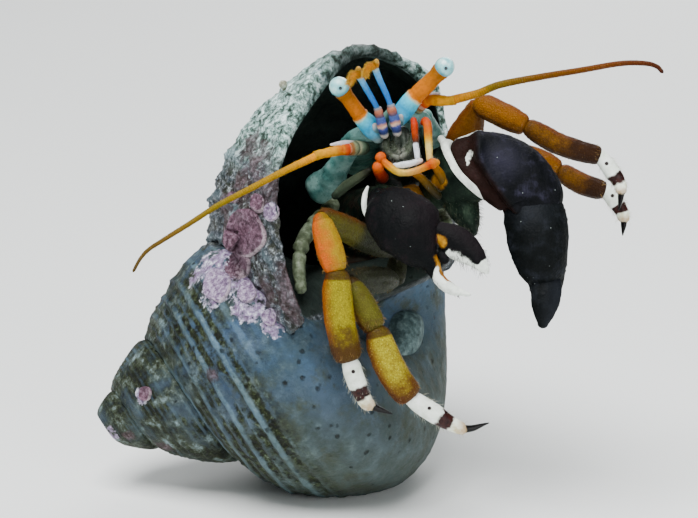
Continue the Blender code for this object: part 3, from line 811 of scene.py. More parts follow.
def plate_finish(name, deep, mid, pale):
    f = Finish(name, roughness=0.55)
    fine = f.noise(2.4, 7, 0.78)
    f.ground = f.steps(fine, (0.38, *deep), (0.5, *mid), (0.64, *pale))
    bright = f.ramp(f.plus(f.mark("rim"), f.spread(fine, -0.35, 0.25)), 0.5, 1.1, 0, 0.75)
    f.lay(bright, (0.6, 0.54, 0.56))
    return f.done(0.55, f.relief(fine, 0.12, f.relief(f.noise(6, 3), 0.04)))


plate_wear = {
    "rose": plate_finish("rose crust", (0.06, 0.034, 0.046), (0.19, 0.11, 0.15), (0.34, 0.25, 0.31)),
    "lilac": plate_finish("lilac crust", (0.13, 0.085, 0.15), (0.34, 0.26, 0.38), (0.64, 0.6, 0.7))}
for number, (kind, across, up, size, lobes) in enumerate(PLATES):
    wear(crust_plate(f"crust_{number}", across, up, size, lobes), plate_wear[kind], "snail_shell")
LUMP_PROFILE = ((0.1, 1), (0.3, 0.96), (0.5, 0.84), (0.68, 0.64), (0.84, 0.36), (0.95, 0.1), (1, -0.2))


def lump_finish():
    f = Finish("lump", roughness=0.6)
    fine = f.noise(1.4, 6, 0.7)
    f.ground = f.steps(fine, (0.32, 0.05, 0.08, 0.082), (0.5, 0.13, 0.19, 0.19), (0.7, 0.28, 0.37, 0.37))
    return f.done(0.6, f.relief(fine, 0.18))


wear(crust_plate("base_lump", 5.7, -7.4, 2, 2, 1.15, LUMP_PROFILE), lump_finish(), "snail_shell")
print("crust plates:", len(PLATES), "and one lump")

# %% a stalked knob on the rim
hit, facing_out = on_front(-6.3, 16.6)
knob_foot = hit if hit else at(-6.3, 16.6, 12)
stem = 0.5 * UP + 0.55 * OUT - 0.15 * ACROSS
bm = bmesh.new()
bmesh.ops.create_uvsphere(bm, u_segments=20, v_segments=14, radius=0.42 * MM)
bmesh.ops.transform(bm, matrix=Matrix.Translation(knob_foot + stem * MM), verts=bm.verts)
stem_corners = bmesh.ops.create_cone(
    bm, cap_ends=True, segments=14, radius1=0.26 * MM, radius2=0.25 * MM, depth=1.1 * MM)["verts"]
stem_place = Matrix.Translation(knob_foot + (0.1 * UP + 0.25 * OUT) * MM)
bmesh.ops.transform(
    bm, matrix=stem_place @ stem.to_track_quat("Z", "Y").to_matrix().to_4x4(), verts=stem_corners)
noise.seed_set(14)  # without a seed, noise_vector is shifted by another amount in each run
for corner in bm.verts:
    corner.co += noise.noise_vector(corner.co * 1.5 / MM) * 0.05 * MM
knob_finish = plate_finish("knob", (0.2, 0.2, 0.14), (0.42, 0.42, 0.34), (0.62, 0.64, 0.56))
wear(finished("rim_knob", bm), knob_finish, "snail_shell")
print("knob at", [round(x / MM, 1) for x in knob_foot])

# %% [markdown]
# ## How a limb is grown
#
# Everything that comes out of the shell is some kind of limb: a path, and a section that changes along it. A
# crab's limb is a row of hard tubes. Each one flares into a rim at its far end, and the round start of the next
# one sits in it like a ball in a cup. `Limb` holds the path and its section. `grow_skin` extrudes a circle
# along it, rolls the far rim inward, domes the near end, lifts the surface by its ridges, bumps and grains, and
# marks how far along each point lies.

# %% a path with a changing section
PATH_STEPS = 48  # straight steps in which a path is measured


def smooth_row(rows, share):
    """A place on a smooth curve (Catmull-Rom) through the rows, at a share of their number."""
    ends = [2 * rows[0] - rows[1], *rows, 2 * rows[-1] - rows[-2]]
    place = min(max(share, 0), 1) * (len(rows) - 1)
    k = min(int(place), len(rows) - 2)
    t = place - k
    a, b, c, d = ends[k:k + 4]
    bend = (2 * a - 5 * b + 4 * c - d) * t ** 2 + (3 * (b - c) + d - a) * t ** 3
    return (2 * b + (c - a) * t + bend) / 2


class Limb:
    """A smooth path through stations of (across, up, out, half breadth, half thickness if another) in millimetres.

    The flat side faces `flat`. Below 1, `square` fills the section out toward a box."""

    def __init__(self, stations, flat=OUT, square=1):
        self.rows = [Vector((*at(*station[:3]), station[3] * MM, station[-1] * MM)) for station in stations]
        self.flat = flat
        self.square = square
        walk = [Vector(smooth_row(self.rows, i / PATH_STEPS)[:3]) for i in range(PATH_STEPS + 1)]
        self.reached = [0]
        for before, after in zip(walk, walk[1:]):
            self.reached.append(self.reached[-1] + (after - before).length)
        self.length = self.reached[-1]

    def row(self, share):
        """Centre and half sizes at a share of the length."""
        goal = min(max(share, 0), 1) * self.length
        k = 0
        while k < PATH_STEPS - 1 and self.reached[k + 1] < goal:
            k += 1
        part = (goal - self.reached[k]) / max(self.reached[k + 1] - self.reached[k], 1e-9)
        return smooth_row(self.rows, (k + part) / PATH_STEPS)

    def frame(self, share):
        """Centre, directions along, sideways and out of the flat side, and the two half sizes."""
        row = self.row(share)
        run = (Vector(self.row(share + 0.03)[:3]) - Vector(self.row(share - 0.03)[:3])).normalized()
        side = run.cross(self.flat).normalized()
        return Vector(row[:3]), run, side, side.cross(run), row[3], row[4]

    def around(self, turn):
        """The section's shape before it is scaled: sideways and outward parts."""
        c, s = cos(turn), sin(turn)
        return (abs(c) ** self.square * (1 if c > 0 else -1), abs(s) ** self.square * (1 if s > 0 else -1))

    def point(self, share, turn, proud=0):
        """A place on the surface, or this many millimetres proud of it."""
        centre, run, side, face, broad, thick = self.frame(share)
        c, s = self.around(turn)
        return centre + side * c * (broad + proud * MM) + face * s * (thick + proud * MM)

    def outward(self, share, turn):
        centre = Vector(self.row(share)[:3])
        return (self.point(share, turn, 0.05) - centre).normalized()


print("a limb's path is measured in", PATH_STEPS, "steps")

# %% growing a skin over a limb
# Ends, from the limb outward: (share of the section, reach past the end as a share of its smaller half size)
DOME = ((0.97, 0.22), (0.88, 0.46), (0.72, 0.68), (0.5, 0.86), (0.25, 0.97))
CUP = ((1.005, 0.05), (0.99, 0.13), (0.95, 0.2), (0.88, 0.24), (0.78, 0.2), (0.66, 0.06), (0.5, -0.1))
ROUND = ((0.975, 0.1), (0.92, 0.22), (0.83, 0.33), (0.71, 0.42), (0.56, 0.47), (0.4, 0.46), (0.25, 0.4))
POINT = ((0.72, 0.45), (0.42, 0.8), (0.16, 1))


def grow_skin(name, limb, rings, sides, ends=(DOME, CUP), lift=None, marks=None):
    """A closed skin over a limb. `lift` and each of `marks` is a function of (run, turn, place)."""
    bm = bmesh.new()
    marks = marks or {}
    layers = {mark: bm.verts.layers.float.new(mark) for mark in ("spoke", "run", *marks)}
    plan = [(0, size, -reach) for size, reach in reversed(ends[0])]
    plan += [(i / rings, 1, 0) for i in range(rings + 1)]
    plan += [(1, size, reach) for size, reach in ends[1]]
    for (run, size, reach), corners in grow_rings(bm, sides, layers["spoke"], plan):
        centre, along, side, face, broad, thick = limb.frame(run)
        centre = centre + along * reach * min(broad, thick)
        for corner in corners:
            turn = 2 * pi * corner[layers["spoke"]] / sides
            c, s = limb.around(turn)
            spot = centre + side * c * broad * size + face * s * thick * size
            proud = lift(run, turn, spot) * MM * min(1, size) if lift else 0
            corner.co = spot + (side * c + face * s) * proud
            corner[layers["run"]] = run
            for mark, value in marks.items():
                corner[layers[mark]] = value(run, turn, corner.co)
    close_ends(bm)
    return finished(name, bm)


def grow_part(material, slot, node, name, limb, rings, sides, ends=(DOME, CUP), lift=None, marks=None):
    """Grow a skin over a limb or its stations, and dress it. `node` is the solid it stands for, or None."""
    limb = limb if isinstance(limb, Limb) else Limb(limb)
    return wear(grow_skin(name, limb, rings, sides, ends, lift, marks), material, slot, *filter(None, [node]))


def near(across, up, reach):
    """A mark that is 1 at a place of the board and fades to 0 at this reach, as seen from the front."""
    def value(run, turn, place):
        a, u, o = board(place)
        return max(0, 1 - sqrt((a - across) ** 2 + (u - up) ** 2) / reach)
    return value


def bump(run, middle, width):
    """A smooth hump along the run, 1 at its middle."""
    return exp(-((run - middle) / width) ** 2)


def grains(place, per_mm, keep=0.25):
    """Scattered rounded grains, each from 0 at its edge to 1 on top."""
    found = noise.voronoi(place * per_mm / MM, distance_metric="DISTANCE")[0][0]
    return max(0, 1 - found / keep) ** 0.5 if found < keep else 0


print("skins are closed with", len(DOME), "rings at a dome and", len(CUP), "at a cup")

# %% [markdown]
# ## The soft body
#
# A hermit crab's hard armour ends behind its head. The abdomen is a soft coil that fills the upper whorls, so
# it follows the shell's own spiral. It is hidden, but a model that is looked into should not be empty. Thorax
# and abdomen are one skin here, so that no seam shows where the two plain solids met.

# %% thorax and abdomen in one skin
THORAX = ((4.7, 10.3, 11.3, 1.9, 0.9), (5, 8.5, 8.5, 2.5, 1.6), (5, 6.6, 5, 2.8, 1.9),
          (4.4, 5.2, 1.5, 2.6, 2.2), (3.6, 5.2, -0.8, 2.4, 2.3))
ABDOMEN_RADIUS = 4.6
ABDOMEN_SHIFT = 0.5


def coil_station(turn, share):
    """A station of the coil in the hollow, at this turn, with its section scaled by a share."""
    grown = GROWTH ** (turn / 360)
    away = radians(turn)
    centre = on_shell(
        (TUBE_ALONG - ABDOMEN_SHIFT) * grown, TUBE_OFF * grown * cos(away), TUBE_OFF * grown * sin(away))
    size = ABDOMEN_RADIUS * grown * share
    return (*board(centre), size)


coil = [
    coil_station(turn, share)
    for turn, share in (
        (-45, 0.82), (-70, 1), (-95, 1.03), (-120, 1.03), (-145, 1.02), (-170, 1), (-195, 0.94),
        (-218, 0.72))]
body_limb = Limb([*THORAX, *coil], flat=BACKWARD)


def body_folds(run, turn, place):
    """Shallow folds across the abdomen, none on the thorax."""
    soft = fade(0.25, 0.45, run)
    wave = sin(run * 92 + 1.2 * sin(2 * turn))
    return soft * (0.1 * wave + 0.22 * rough(place, 0.35)) + 0.05 * rough(place, 1.4, 2)


body = grow_skin("soft_body", body_limb, 110, 40, (DOME, POINT), body_folds)
print("soft body:", len(body.data.polygons), "faces,", round(body_limb.length / MM), "mm long")

# %% [markdown]
# ## The carapace
#
# The only armour on the back is the shield, a flattened plate with a small point between the eyes and a groove
# across it. Beside it are the softer cheeks and flanks. All of it is pale grey-green, mottled with teal and
# marbled with cream. The mottling is noise of two sizes; the groove and the low swellings are real relief.

# %% carapace finish
def carapace_finish(name, deep, mid, pale):
    f = Finish(name, roughness=0.4, coat=0.06, skin=0.08, skin_colour=(0.6, 0.9, 0.7))
    warp = f.noise(0.5, 5, 0.65)
    f.ground = f.steps(warp, (0.3, *deep), (0.5, *mid), (0.68, *pale))
    marbling = f.ramp(f.cells(0.85, "SMOOTH_F1"), 0.28, 0.5)
    f.lay(f.times(marbling, 0.3), pale)
    freckles = f.ramp(f.cells(3.2), 0.22, 0.1, 0, 0.7)
    f.lay(freckles, deep)
    relief = f.relief(f.noise(2.2, 4), 0.07, f.relief(f.cells(5), 0.03))
    return f.done(f.ramp(warp, 0.35, 0.7, 0.28, 0.45), relief)


def body_finish():
    f = Finish("soft body", roughness=0.45, coat=0.08, skin=0.25, skin_colour=(1, 0.5, 0.35))
    mottle = f.noise(0.6, 5, 0.6)
    f.ground = f.steps(mottle, (0.3, 0.2, 0.1, 0.06), (0.5, 0.38, 0.24, 0.15), (0.7, 0.55, 0.42, 0.3))
    front = f.steps(mottle, (0.3, 0.01, 0.018, 0.014), (0.55, 0.03, 0.048, 0.036), (0.75, 0.1, 0.13, 0.085))
    f.ground = f.blend(f.ramp(f.mark("run"), 0.42, 0.58), front, f.ground)
    veins = f.ramp(f.cells(0.7, "DISTANCE_TO_EDGE"), 0.07, 0, 0, 0.45)
    f.lay(veins, (0.14, 0.07, 0.06))
    relief = f.relief(f.noise(1.8, 5), 0.08, f.relief(f.cells(4), 0.03))
    return f.done(f.spread(mottle, 0.35, 0.5), relief)


wear(body, body_finish(), "abdomen_skin", "thorax", "abdomen")
teal_plate = carapace_finish("carapace", (0.018, 0.065, 0.055), (0.055, 0.145, 0.125), (0.22, 0.36, 0.3))
pale_plate = carapace_finish("pale plate", (0.045, 0.13, 0.12), (0.12, 0.27, 0.25), (0.34, 0.52, 0.48))
dark_plate = carapace_finish("mouth plate", (0.02, 0.026, 0.02), (0.07, 0.085, 0.066), (0.24, 0.28, 0.24))
print("carapace finishes: 3")

# %% shield and flanks
SHIELD = ((3.9, 14.1, 13.7, 0.45, 0.35), (3.6, 13, 12.4, 1.8, 0.75), (3.4, 12, 10, 3, 1),
          (3.1, 10.9, 7, 3.7, 1.2), (2.8, 9.9, 4, 3.4, 1))
FLANKS = {
    "R": ((0.3, 10.8, 11.8, 0.6), (0, 10.4, 11.2, 0.9, 0.75), (-0.9, 9.2, 9.6, 1.05, 0.85),
          (-1.8, 7.7, 8, 1.45, 0.95), (-3.2, 6.7, 7, 1.55, 0.85)),
    "L": ((7.2, 13.8, 10, 0.8, 0.7), (7.9, 12.6, 7.6, 1, 0.8), (8.3, 11.6, 5.2, 1.1, 0.8)),
}
CHEEKS = {
    "R": ((2.3, 12, 13.6, 0.75, 0.7), (1.1, 11.9, 13.4, 0.82, 0.75), (0.3, 11.55, 13, 0.72, 0.65),
          (-0.35, 11.15, 12.5, 0.5)),
    "L": ((5.9, 13.6, 13.2, 0.7), (6.9, 13.4, 12.6, 0.8, 0.75), (7.4, 12.7, 11.6, 0.7)),
}
MOUTH = (
    (4.9, 12, 13.6, 0.85, 0.7), (5.1, 10.9, 14, 1.12, 0.85), (5.2, 9.9, 14.1, 1.08, 0.8),
    (5, 9, 13.6, 0.8, 0.7))


def shield_relief(run, turn, place):
    """A groove across the plate, two low swellings in front of it, and fine grain."""
    up_side = facing(turn, 90, 75)
    groove = -0.28 * bump(run, 0.62 + 0.08 * cos(turn) ** 2, 0.035)
    swellings = 0.25 * bump(run, 0.42, 0.16) * (facing(turn, 55, 24) + facing(turn, 125, 24))
    return up_side * (groove + swellings) + 0.05 * rough(place, 1.1) + 0.05 * grains(place, 2.2)


def plate_relief(run, turn, place):
    return 0.1 * rough(place, 0.6) + 0.04 * rough(place, 2, 2)


shield = grow_part(
    teal_plate, "carapace", "shield", "shield_plate", Limb(SHIELD, BACKWARD), 64, 72, (POINT, DOME),
    shield_relief)
for side, stations in FLANKS.items():
    grow_part(
        pale_plate, "carapace", "flank_" + side, f"flank_plate_{side}", stations, 36, 32, (DOME, DOME),
        plate_relief)
for side, stations in CHEEKS.items():
    grow_part(pale_plate, "carapace", None, f"cheek_{side}", stations, 20, 24, (DOME, DOME), plate_relief)


def mouth_relief(run, turn, place):
    """Upright folds, where the inner mouthparts lie over each other."""
    folds = -0.34 * abs(sin(turn * 3.5 + 0.6 * run)) ** 3 * facing(turn, 90, 70) * bump(run, 0.5, 0.45)
    lips = -0.3 * bump(run, 0.62, 0.05) * facing(turn, 90, 50)
    return folds + lips + 0.09 * rough(place, 1.2)


mouth = grow_part(dark_plate, "carapace", "mouth", "mouth_field", MOUTH, 56, 84, (DOME, DOME), mouth_relief)
print("shield:", len(shield.data.polygons), "faces; mouth field:", len(mouth.data.polygons))

# %% [markdown]
# ## The two claws
#
# The crab's left claw is the large one, with a thick smooth palm and a short dark finger. The right claw is
# smaller, and the outer half of both its fingers is white. Each arm runs through a short base, a three-sided
# merus and a wide carpus to the palm. They are grown as limbs with many rings, so that the ridges and the fine
# grain are real. What is white or rusty, and where a sheen is painted in as a highlight, is marked by where it is
# seen on the board.

# %% claw finishes
WHITE = (0.9, 0.95, 0.88)


def claw_finish(name, dark, mid, sheen):
    """Very dark shell with a violet sheen painted into its mottle and, by the top mark, where the light falls;
    darker in its grain, and white where it is marked so.
    """
    f = Finish(name, roughness=0.6, coat=0, shine=0.07)
    mottle = f.noise(0.7, 5, 0.6)
    streaks = f.noise(1.6, 4, 0.6, stretch=(3.2, 1, 0.7))
    f.ground = f.steps(mottle, (0.3, *dark), (0.52, *mid), (0.72, *sheen))
    f.lay(f.ramp(streaks, 0.42, 0.62, 0, 0.4), dark)
    # Painted sheen: the sheen colour is laid where the top mark says the light falls.
    top = f.ramp(f.mark("top"), 0, 1)
    f.lay(f.times(top, 0.6), sheen)
    f.lay(f.ramp(f.mark("brown"), 0, 1, 0, 0.85), f.blend(mottle, (0.014, 0.008, 0.007), (0.06, 0.024, 0.016)))
    warm = f.blend(f.ramp(mottle, 0.35, 0.65), (0.26, 0.095, 0.01), (0.52, 0.3, 0.03))
    f.lay(f.ramp(f.waver(f.mark("warm"), mottle, 0.2), 0.3, 0.6), warm)
    flecks = f.ramp(f.cells(1.3), 0.07, 0.035)
    flecks = f.times(flecks, f.ramp(f.noise(0.35, 2), 0.52, 0.6))
    f.lay(f.times(flecks, 0.8), (0.55, 0.62, 0.6))
    ivory = f.steps(f.noise(1.3, 4), (0.3, *(0.72 * c for c in WHITE)), (0.6, *WHITE))
    edge = f.ramp(f.waver(f.mark("white"), f.noise(2.2, 4), 0.16), 0.42, 0.6)
    f.lay(edge, ivory)
    grain = f.cells(4.5)
    relief = f.relief(f.plus(f.times(grain, -0.8), mottle), 0.05, f.relief(f.noise(9, 3), 0.02))
    return f.done(f.spread(mottle, 0.54, 0.68), relief)


# Each sheen colour below is painted light, brightest on the carpus.
carpus_shell = claw_finish("claw carpus", (0.004, 0.006, 0.007), (0.013, 0.014, 0.019), (0.06, 0.058, 0.09))
claw_shell = claw_finish("claw", (0.004, 0.006, 0.006), (0.01, 0.013, 0.014), (0.034, 0.038, 0.048))
arm_shell = claw_finish("arm", (0.008, 0.016, 0.012), (0.022, 0.04, 0.028), (0.06, 0.09, 0.062))
small_claw = claw_finish("small claw", (0.003, 0.005, 0.006), (0.007, 0.009, 0.01), (0.026, 0.018, 0.022))
print("claw finishes: 4")

# %% [markdown]
# Between two hard tubes there is always a sleeve of soft, paler membrane. It is made as a short folded limb
# that starts inside one segment and ends inside the next, so no joint is ever open.

# %% joint membranes
def membrane_finish(name, deep, pale):
    f = Finish(name, roughness=0.42, coat=0.05, skin=0.2, skin_colour=(1, 0.6, 0.4))
    mottle = f.noise(1.4, 4)
    f.ground = f.steps(mottle, (0.32, *deep), (0.66, *pale))
    return f.done(f.spread(mottle, 0.3, 0.46), f.relief(f.noise(3.5, 4), 0.06))


MEMBRANES = {
    "dark": membrane_finish("dark membrane", (0.02, 0.014, 0.01), (0.085, 0.05, 0.03)),
    "rosy": membrane_finish("rosy membrane", (0.26, 0.11, 0.07), (0.56, 0.33, 0.26)),
    "pale": membrane_finish("pale membrane", (0.3, 0.26, 0.14), (0.62, 0.58, 0.36)),
    "brown": membrane_finish("brown membrane", (0.045, 0.016, 0.008), (0.16, 0.06, 0.03))}


def membrane(name, first, last, radius, kind, slot, folds=5):
    """A folded sleeve between two places of the board."""
    limb = Limb([(*first, radius), (*last, radius)])
    sleeve = grow_skin(
        name, limb, 24, 28, (DOME, DOME),
        lambda run, turn, place: 0.07 * radius * sin(run * folds * 2 * pi) + 0.03 * rough(place, 1.6))
    return wear(sleeve, MEMBRANES[kind], slot)


# %% large claw: base, merus and carpus
MERUS_L = (
    (8.3, 6.4, 9, 1.7, 1.5), (8.9, 7, 10.8, 2.3, 1.8), (10, 7.65, 12.7, 2.95, 2),
    (11.1, 8.5, 13.4, 3.45, 2.1))
CARPUS_L = (
    (11.35, 8.9, 13.2, 2.9, 1.85), (12.4, 9.1, 13.5, 3.05, 2.2), (13.7, 8.85, 13.7, 3.25, 2.4),
    (15.2, 8.1, 14, 3.4, 2.5), (16.5, 7, 14.2, 3.35, 2.45), (17.25, 6, 14.2, 3.15, 2.3),
    (17.5, 5.1, 14.2, 2.95, 2.1))


def all_over(run, turn, place):
    return 1


def merus_relief(run, turn, place):
    ridge = 0.35 * facing(turn, 90, 26) * fade(0.1, 0.7, run)
    return 0.14 * bump(run, 0.985, 0.02) + ridge + 0.1 * rough(place, 0.5) + 0.05 * grains(place, 2.4)


def ridge_line(up):
    """How far across the carpus its front ridge lies at this height."""
    return 12.3 + 0.52 * max(0, 9.8 - up) ** 1.15


def front_ridge(run, turn, place):
    """A rounded ridge that curves down the carpus, with a groove on its near side."""
    a, u, o = board(place)
    line = ridge_line(u)
    return exp(-((a - line) / 0.5) ** 2) - 1.1 * exp(-((a - line + 1.1) / 0.75) ** 2)


def carpus_relief(run, turn, place):
    ridge = 0.62 * front_ridge(run, turn, place) * facing(turn, 90, 65)
    return ridge + 0.12 * rough(place, 0.38) + 0.05 * grains(place, 1.9) + 0.03 * rough(place, 2.2, 2)


grow_part(
    arm_shell, "cheliped_arm", "chela_L_merus", "large_merus", MERUS_L, 56, 72, (DOME, CUP), merus_relief,
    {"white": lambda run, turn, place: fade(0.974, 0.986, run) * (0.35 + 0.65 * facing(turn, 105, 105)),
     "warm": near(8.5, 7.3, 1.4)})


def comma(run, turn, place):
    """The white comma at the top of the large carpus, and the pale line along its upper edge."""
    a, u, o = board(place)
    bend = 11.35 + 0.16 * (u - 9.4) + 0.1 * (u - 9.4) ** 2
    dot = 0.86 - sqrt(((a - bend) / 0.36) ** 2 + ((u - 9.7) / 0.9) ** 2)
    line = bump(a, 11.8, 2.2) * facing(turn, 176, 13)
    return max(0, min(0.56, dot + 0.42) * fade(12.8, 13.4, o), line)


# The carpus's top mark places a painted violet highlight on its upper face.
grow_part(
    carpus_shell, "cheliped_dark", "chela_L_carpus", "large_carpus", Limb(CARPUS_L, square=0.94), 84, 96,
    (DOME, ROUND), carpus_relief,
    {"white": comma,
     "brown": lambda run, turn, place: fade(0.1, -0.5, board(place)[0] - ridge_line(board(place)[1])),
     "top": near(14.6, 9.3, 2.6)})
grow_part(
    arm_shell, "cheliped_arm", "chela_L_base", "large_base",
    ((8.8, 7.5, 6.2, 1.3), (9.2, 7.7, 7.2, 1.5, 1.45), (9.2, 7.8, 8.6, 1.6, 1.55)), 20, 40, (DOME, CUP),
    plate_relief, {"warm": near(9, 8, 3)})
membrane("large_merus_sleeve", (10.7, 8.7, 12.9), (11.7, 9.1, 13.2), 1.5, "dark", "cheliped_arm")
grow_part(
    arm_shell, "cheliped_arm", None, "large_merus_knob",
    ((8.8, 11.5, 13.2, 0.36, 0.34), (9.15, 10.95, 13.8, 0.38, 0.36)), 10, 20, (DOME, DOME), None,
    {"white": all_over})
lobe = Limb((
    (9.6, 6.9, 12.2, 1.3, 1), (10.6, 5.7, 12.6, 1.65, 1.1), (11.25, 4.3, 12.8, 1.4, 1),
    (11.75, 3.2, 12.9, 0.85, 0.7), (12, 2.5, 12.9, 0.3)))
grow_part(arm_shell, "cheliped_arm", None, "large_merus_lobe", lobe, 40, 40, (DOME, POINT), merus_relief)
print("large arm ready")

# %% [markdown]
# The large palm and its fixed finger are one hard piece; only the other finger moves. The fixed finger lies
# behind and below. Seen closed, the two leave a narrow dark gap between them, with blunt teeth along it.

# %% large palm and finger
PALM_L = (
    (17.45, 5.6, 14.1, 2.62, 1.9), (17.65, 4.4, 14.2, 2.88, 2.25), (17.9, 2.6, 14.4, 2.85, 2.55),
    (18.15, 0.9, 14.5, 2.62, 2.45), (18.5, -0.9, 14.3, 2.2, 1.95), (18.75, -2.3, 13.8, 1.55, 1.25),
    (18.7, -4.2, 13.4, 1, 0.8), (18.45, -5.7, 13.6, 0.4))
FINGER_L = (
    (18.7, -1.7, 14.4, 1.2, 0.7), (18.78, -2.6, 14.9, 1.45, 0.9), (18.62, -4, 15.2, 1.36, 0.95),
    (18.5, -5.2, 15.3, 1.02, 0.8), (18.42, -6.15, 15.1, 0.5, 0.45))


def palm_relief(run, turn, place):
    """A keel down the outer edge, swellings over the hinge, and grains that fade toward the palm's middle."""
    keel = 0.16 * (facing(turn, 180, 22) + facing(turn, 0, 22)) * fade(0.02, 0.25, run)
    hinge = 0.22 * bump(run, 0.53, 0.07) * facing(turn, 90, 40)
    return keel + hinge + 0.12 * rough(place, 0.42) + 0.07 * grains(place, 1.7) + 0.03 * rough(place, 2.4, 2)


def finger_relief(run, turn, place):
    """Long shallow furrows, and blunt teeth on the inner side."""
    teeth = 0.16 * max(0, sin(run * 34)) * facing(turn, 270, 35) * fade(0.95, 0.8, run)
    return teeth + 0.06 * sin(turn * 5) * bump(run, 0.45, 0.4) + 0.05 * grains(place, 2.2) + 0.05 * rough(place, 1)


# A painted sheen along one side of a finger.
def edge_sheen(run, turn, place):
    return facing(turn, 140, 55)


# The palm's top mark places painted sheen near the wrist, so that it meets the carpus's.
palm_left = grow_part(
    claw_shell, "cheliped_dark", "chela_L_palm", "large_palm", Limb(PALM_L, square=0.96), 96, 96,
    (DOME, POINT), palm_relief, {"top": near(17.2, 5, 3)})
grow_part(
    claw_shell, "cheliped_dark", "chela_L_finger", "large_finger", FINGER_L, 56, 64, (DOME, DOME),
    finger_relief, {"top": edge_sheen})
membrane("large_wrist_sleeve", (17.3, 5.7, 14.2), (17.6, 4.7, 14.2), 1.9, "dark", "cheliped_dark", 3)
print("large palm:", len(palm_left.data.polygons), "faces")

# %% small claw
CARPUS_R = (
    (2.9, 5.1, 15.4, 1.3, 0.8), (2.7, 5.1, 16.2, 1.45, 0.95), (2.75, 5.05, 17.2, 1.5, 1),
    (2.95, 5, 18.6, 1.4, 1))
MERUS_R = (
    (5.5, 5.3, 11.5, 1.3, 1.2), (5, 5.2, 12.3, 1.5, 1.4), (4.1, 5.2, 13.6, 1.7, 1.6),
    (3.1, 5.2, 15, 1.75, 1.5))
PALM_R = (
    (2.9, 5.2, 18.6, 1.75, 1.1), (3.4, 4.75, 19.5, 2.45, 1.5), (4.4, 3.9, 20.1, 2.95, 1.85),
    (5.6, 2.7, 20.6, 3.15, 2.2), (6.7, 0.8, 20.8, 2, 1.8), (7.6, -0.4, 21.1, 0.95, 1),
    (8.35, -1.75, 21.4, 0.56, 0.66), (9.5, -2.8, 21.7, 0.5, 0.56), (11.1, -3.3, 21.9, 0.22, 0.28))
FINGER_R = (
    (8.5, 2.5, 21, 1), (9.2, 2.1, 21.1, 1.3, 1.2), (10, 1.5, 21.4, 1.5, 1.1), (11, 0.8, 21.7, 1.35, 0.85),
    (11.9, -0.1, 22, 0.92, 0.68), (12.7, -1.1, 22.2, 0.35, 0.38))


def small_palm_relief(run, turn, place):
    """Fine lines across the palm, stronger near its upper edge, and a row of low tubercles there."""
    across_lines = 0.02 * sin(turn * 46 + 5 * run) * facing(turn, 110, 70) * fade(0.62, 0.4, run)
    row = 0.16 * max(0, sin(run * 60)) * facing(turn, 186, 14) * fade(0.6, 0.3, run)
    grain = 0.05 * grains(place, 2) + 0.03 * rough(place, 2.4, 2)
    return across_lines + row + 0.11 * rough(place, 0.45) + grain


def white_tips(run, turn, place):
    """The fixed finger of the small claw: white to its tip from a slanting edge, but for its outer side."""
    white = fade(0.655, 0.72, run - 0.05 * cos(turn))
    return white * (1 - facing(turn, 180, 60) * fade(0.92, 0.78, run))


def lower_white(run, turn, place):
    """The small movable finger: white along its lower edge and over its tip."""
    under = facing(turn, 5, 62) * fade(0.22, 0.36, run)
    return max(under, fade(0.78, 0.92, run))


grow_part(
    arm_shell, "cheliped_arm", "chela_R_base", "small_base",
    ((6.4, 6.1, 9.4, 1, 0.9), (6.2, 6, 10.2, 1.3, 1.1), (5.7, 5.6, 11.4, 1.4, 1.25)), 20, 40, (DOME, CUP),
    plate_relief, {"warm": near(6, 6, 3)})
grow_part(
    arm_shell, "cheliped_arm", "chela_R_merus", "small_merus", MERUS_R, 48, 56, (DOME, CUP), palm_relief,
    {"warm": near(6.5, 5.5, 2.5)})
grow_part(
    small_claw, "cheliped_arm", "chela_R_carpus", "small_carpus", Limb(CARPUS_R, ACROSS), 48, 64, (DOME, CUP),
    palm_relief)
margin_right = Limb((
    (1.75, 6.75, 18.5, 0.12), (1.5, 6, 18.9, 0.24, 0.22), (1.42, 5, 19.1, 0.26, 0.24),
    (1.65, 4.1, 19.1, 0.22, 0.2), (2.2, 3.3, 19, 0.1)))
grow_part(
    small_claw, "cheliped_arm", None, "small_carpus_margin", margin_right, 40, 20, (DOME, DOME), None,
    {"white": all_over})
# The small palm's top mark is a painted highlight on its upper side; the finger's edge_sheen is a painted sheen.
palm_right = grow_part(
    small_claw, "cheliped_dark", "chela_R_palm", "small_palm", Limb(PALM_R, square=0.97), 110, 96,
    (DOME, POINT), small_palm_relief,
    {"white": white_tips,
     "warm": lambda run, turn, place: facing(turn, 180, 66) * fade(0.585, 0.625, run) * fade(0.9, 0.8, run),
     "top": lambda run, turn, place: facing(turn, 150, 50) * bump(run, 0.35, 0.25)})
grow_part(
    small_claw, "cheliped_dark", "chela_R_finger", "small_finger", FINGER_R, 64, 64, (DOME, POINT),
    finger_relief, {"white": lower_white, "warm": near(8.4, 1.6, 1.1), "top": edge_sheen})
membrane("small_wrist_sleeve", (2.8, 5.1, 17.9), (3.2, 4.95, 19.2), 0.85, "dark", "cheliped_arm", 3)
membrane("small_merus_sleeve", (3.2, 5.2, 14.8), (2.5, 5.1, 15.9), 1.2, "dark", "cheliped_arm", 3)
membrane("small_finger_hinge", (7.7, 2.2, 20.9), (9, 2.1, 21.1), 0.85, "brown", "cheliped_dark", 3)
grow_part(
    small_claw, "cheliped_dark", None, "small_claw_tooth",
    ((8.6, 0.4, 21.5, 0.45, 0.4), (8.9, -0.1, 21.7, 0.4, 0.38)), 10, 20, (DOME, DOME))
print("small claw:", len(palm_right.data.polygons), "faces on the palm")

# %% [markdown]
# ## Walking legs
#
# Each side shows two walking legs: a short base, a merus that rises to the knee, a carpus, a long propodus, and
# a white dactyl with a dark dot, a maroon band and a black nail. One bent tube each would look like rubber.
# Here every segment has its own outline, drawn as breadths along its length, and its far end is a cup for the
# next.

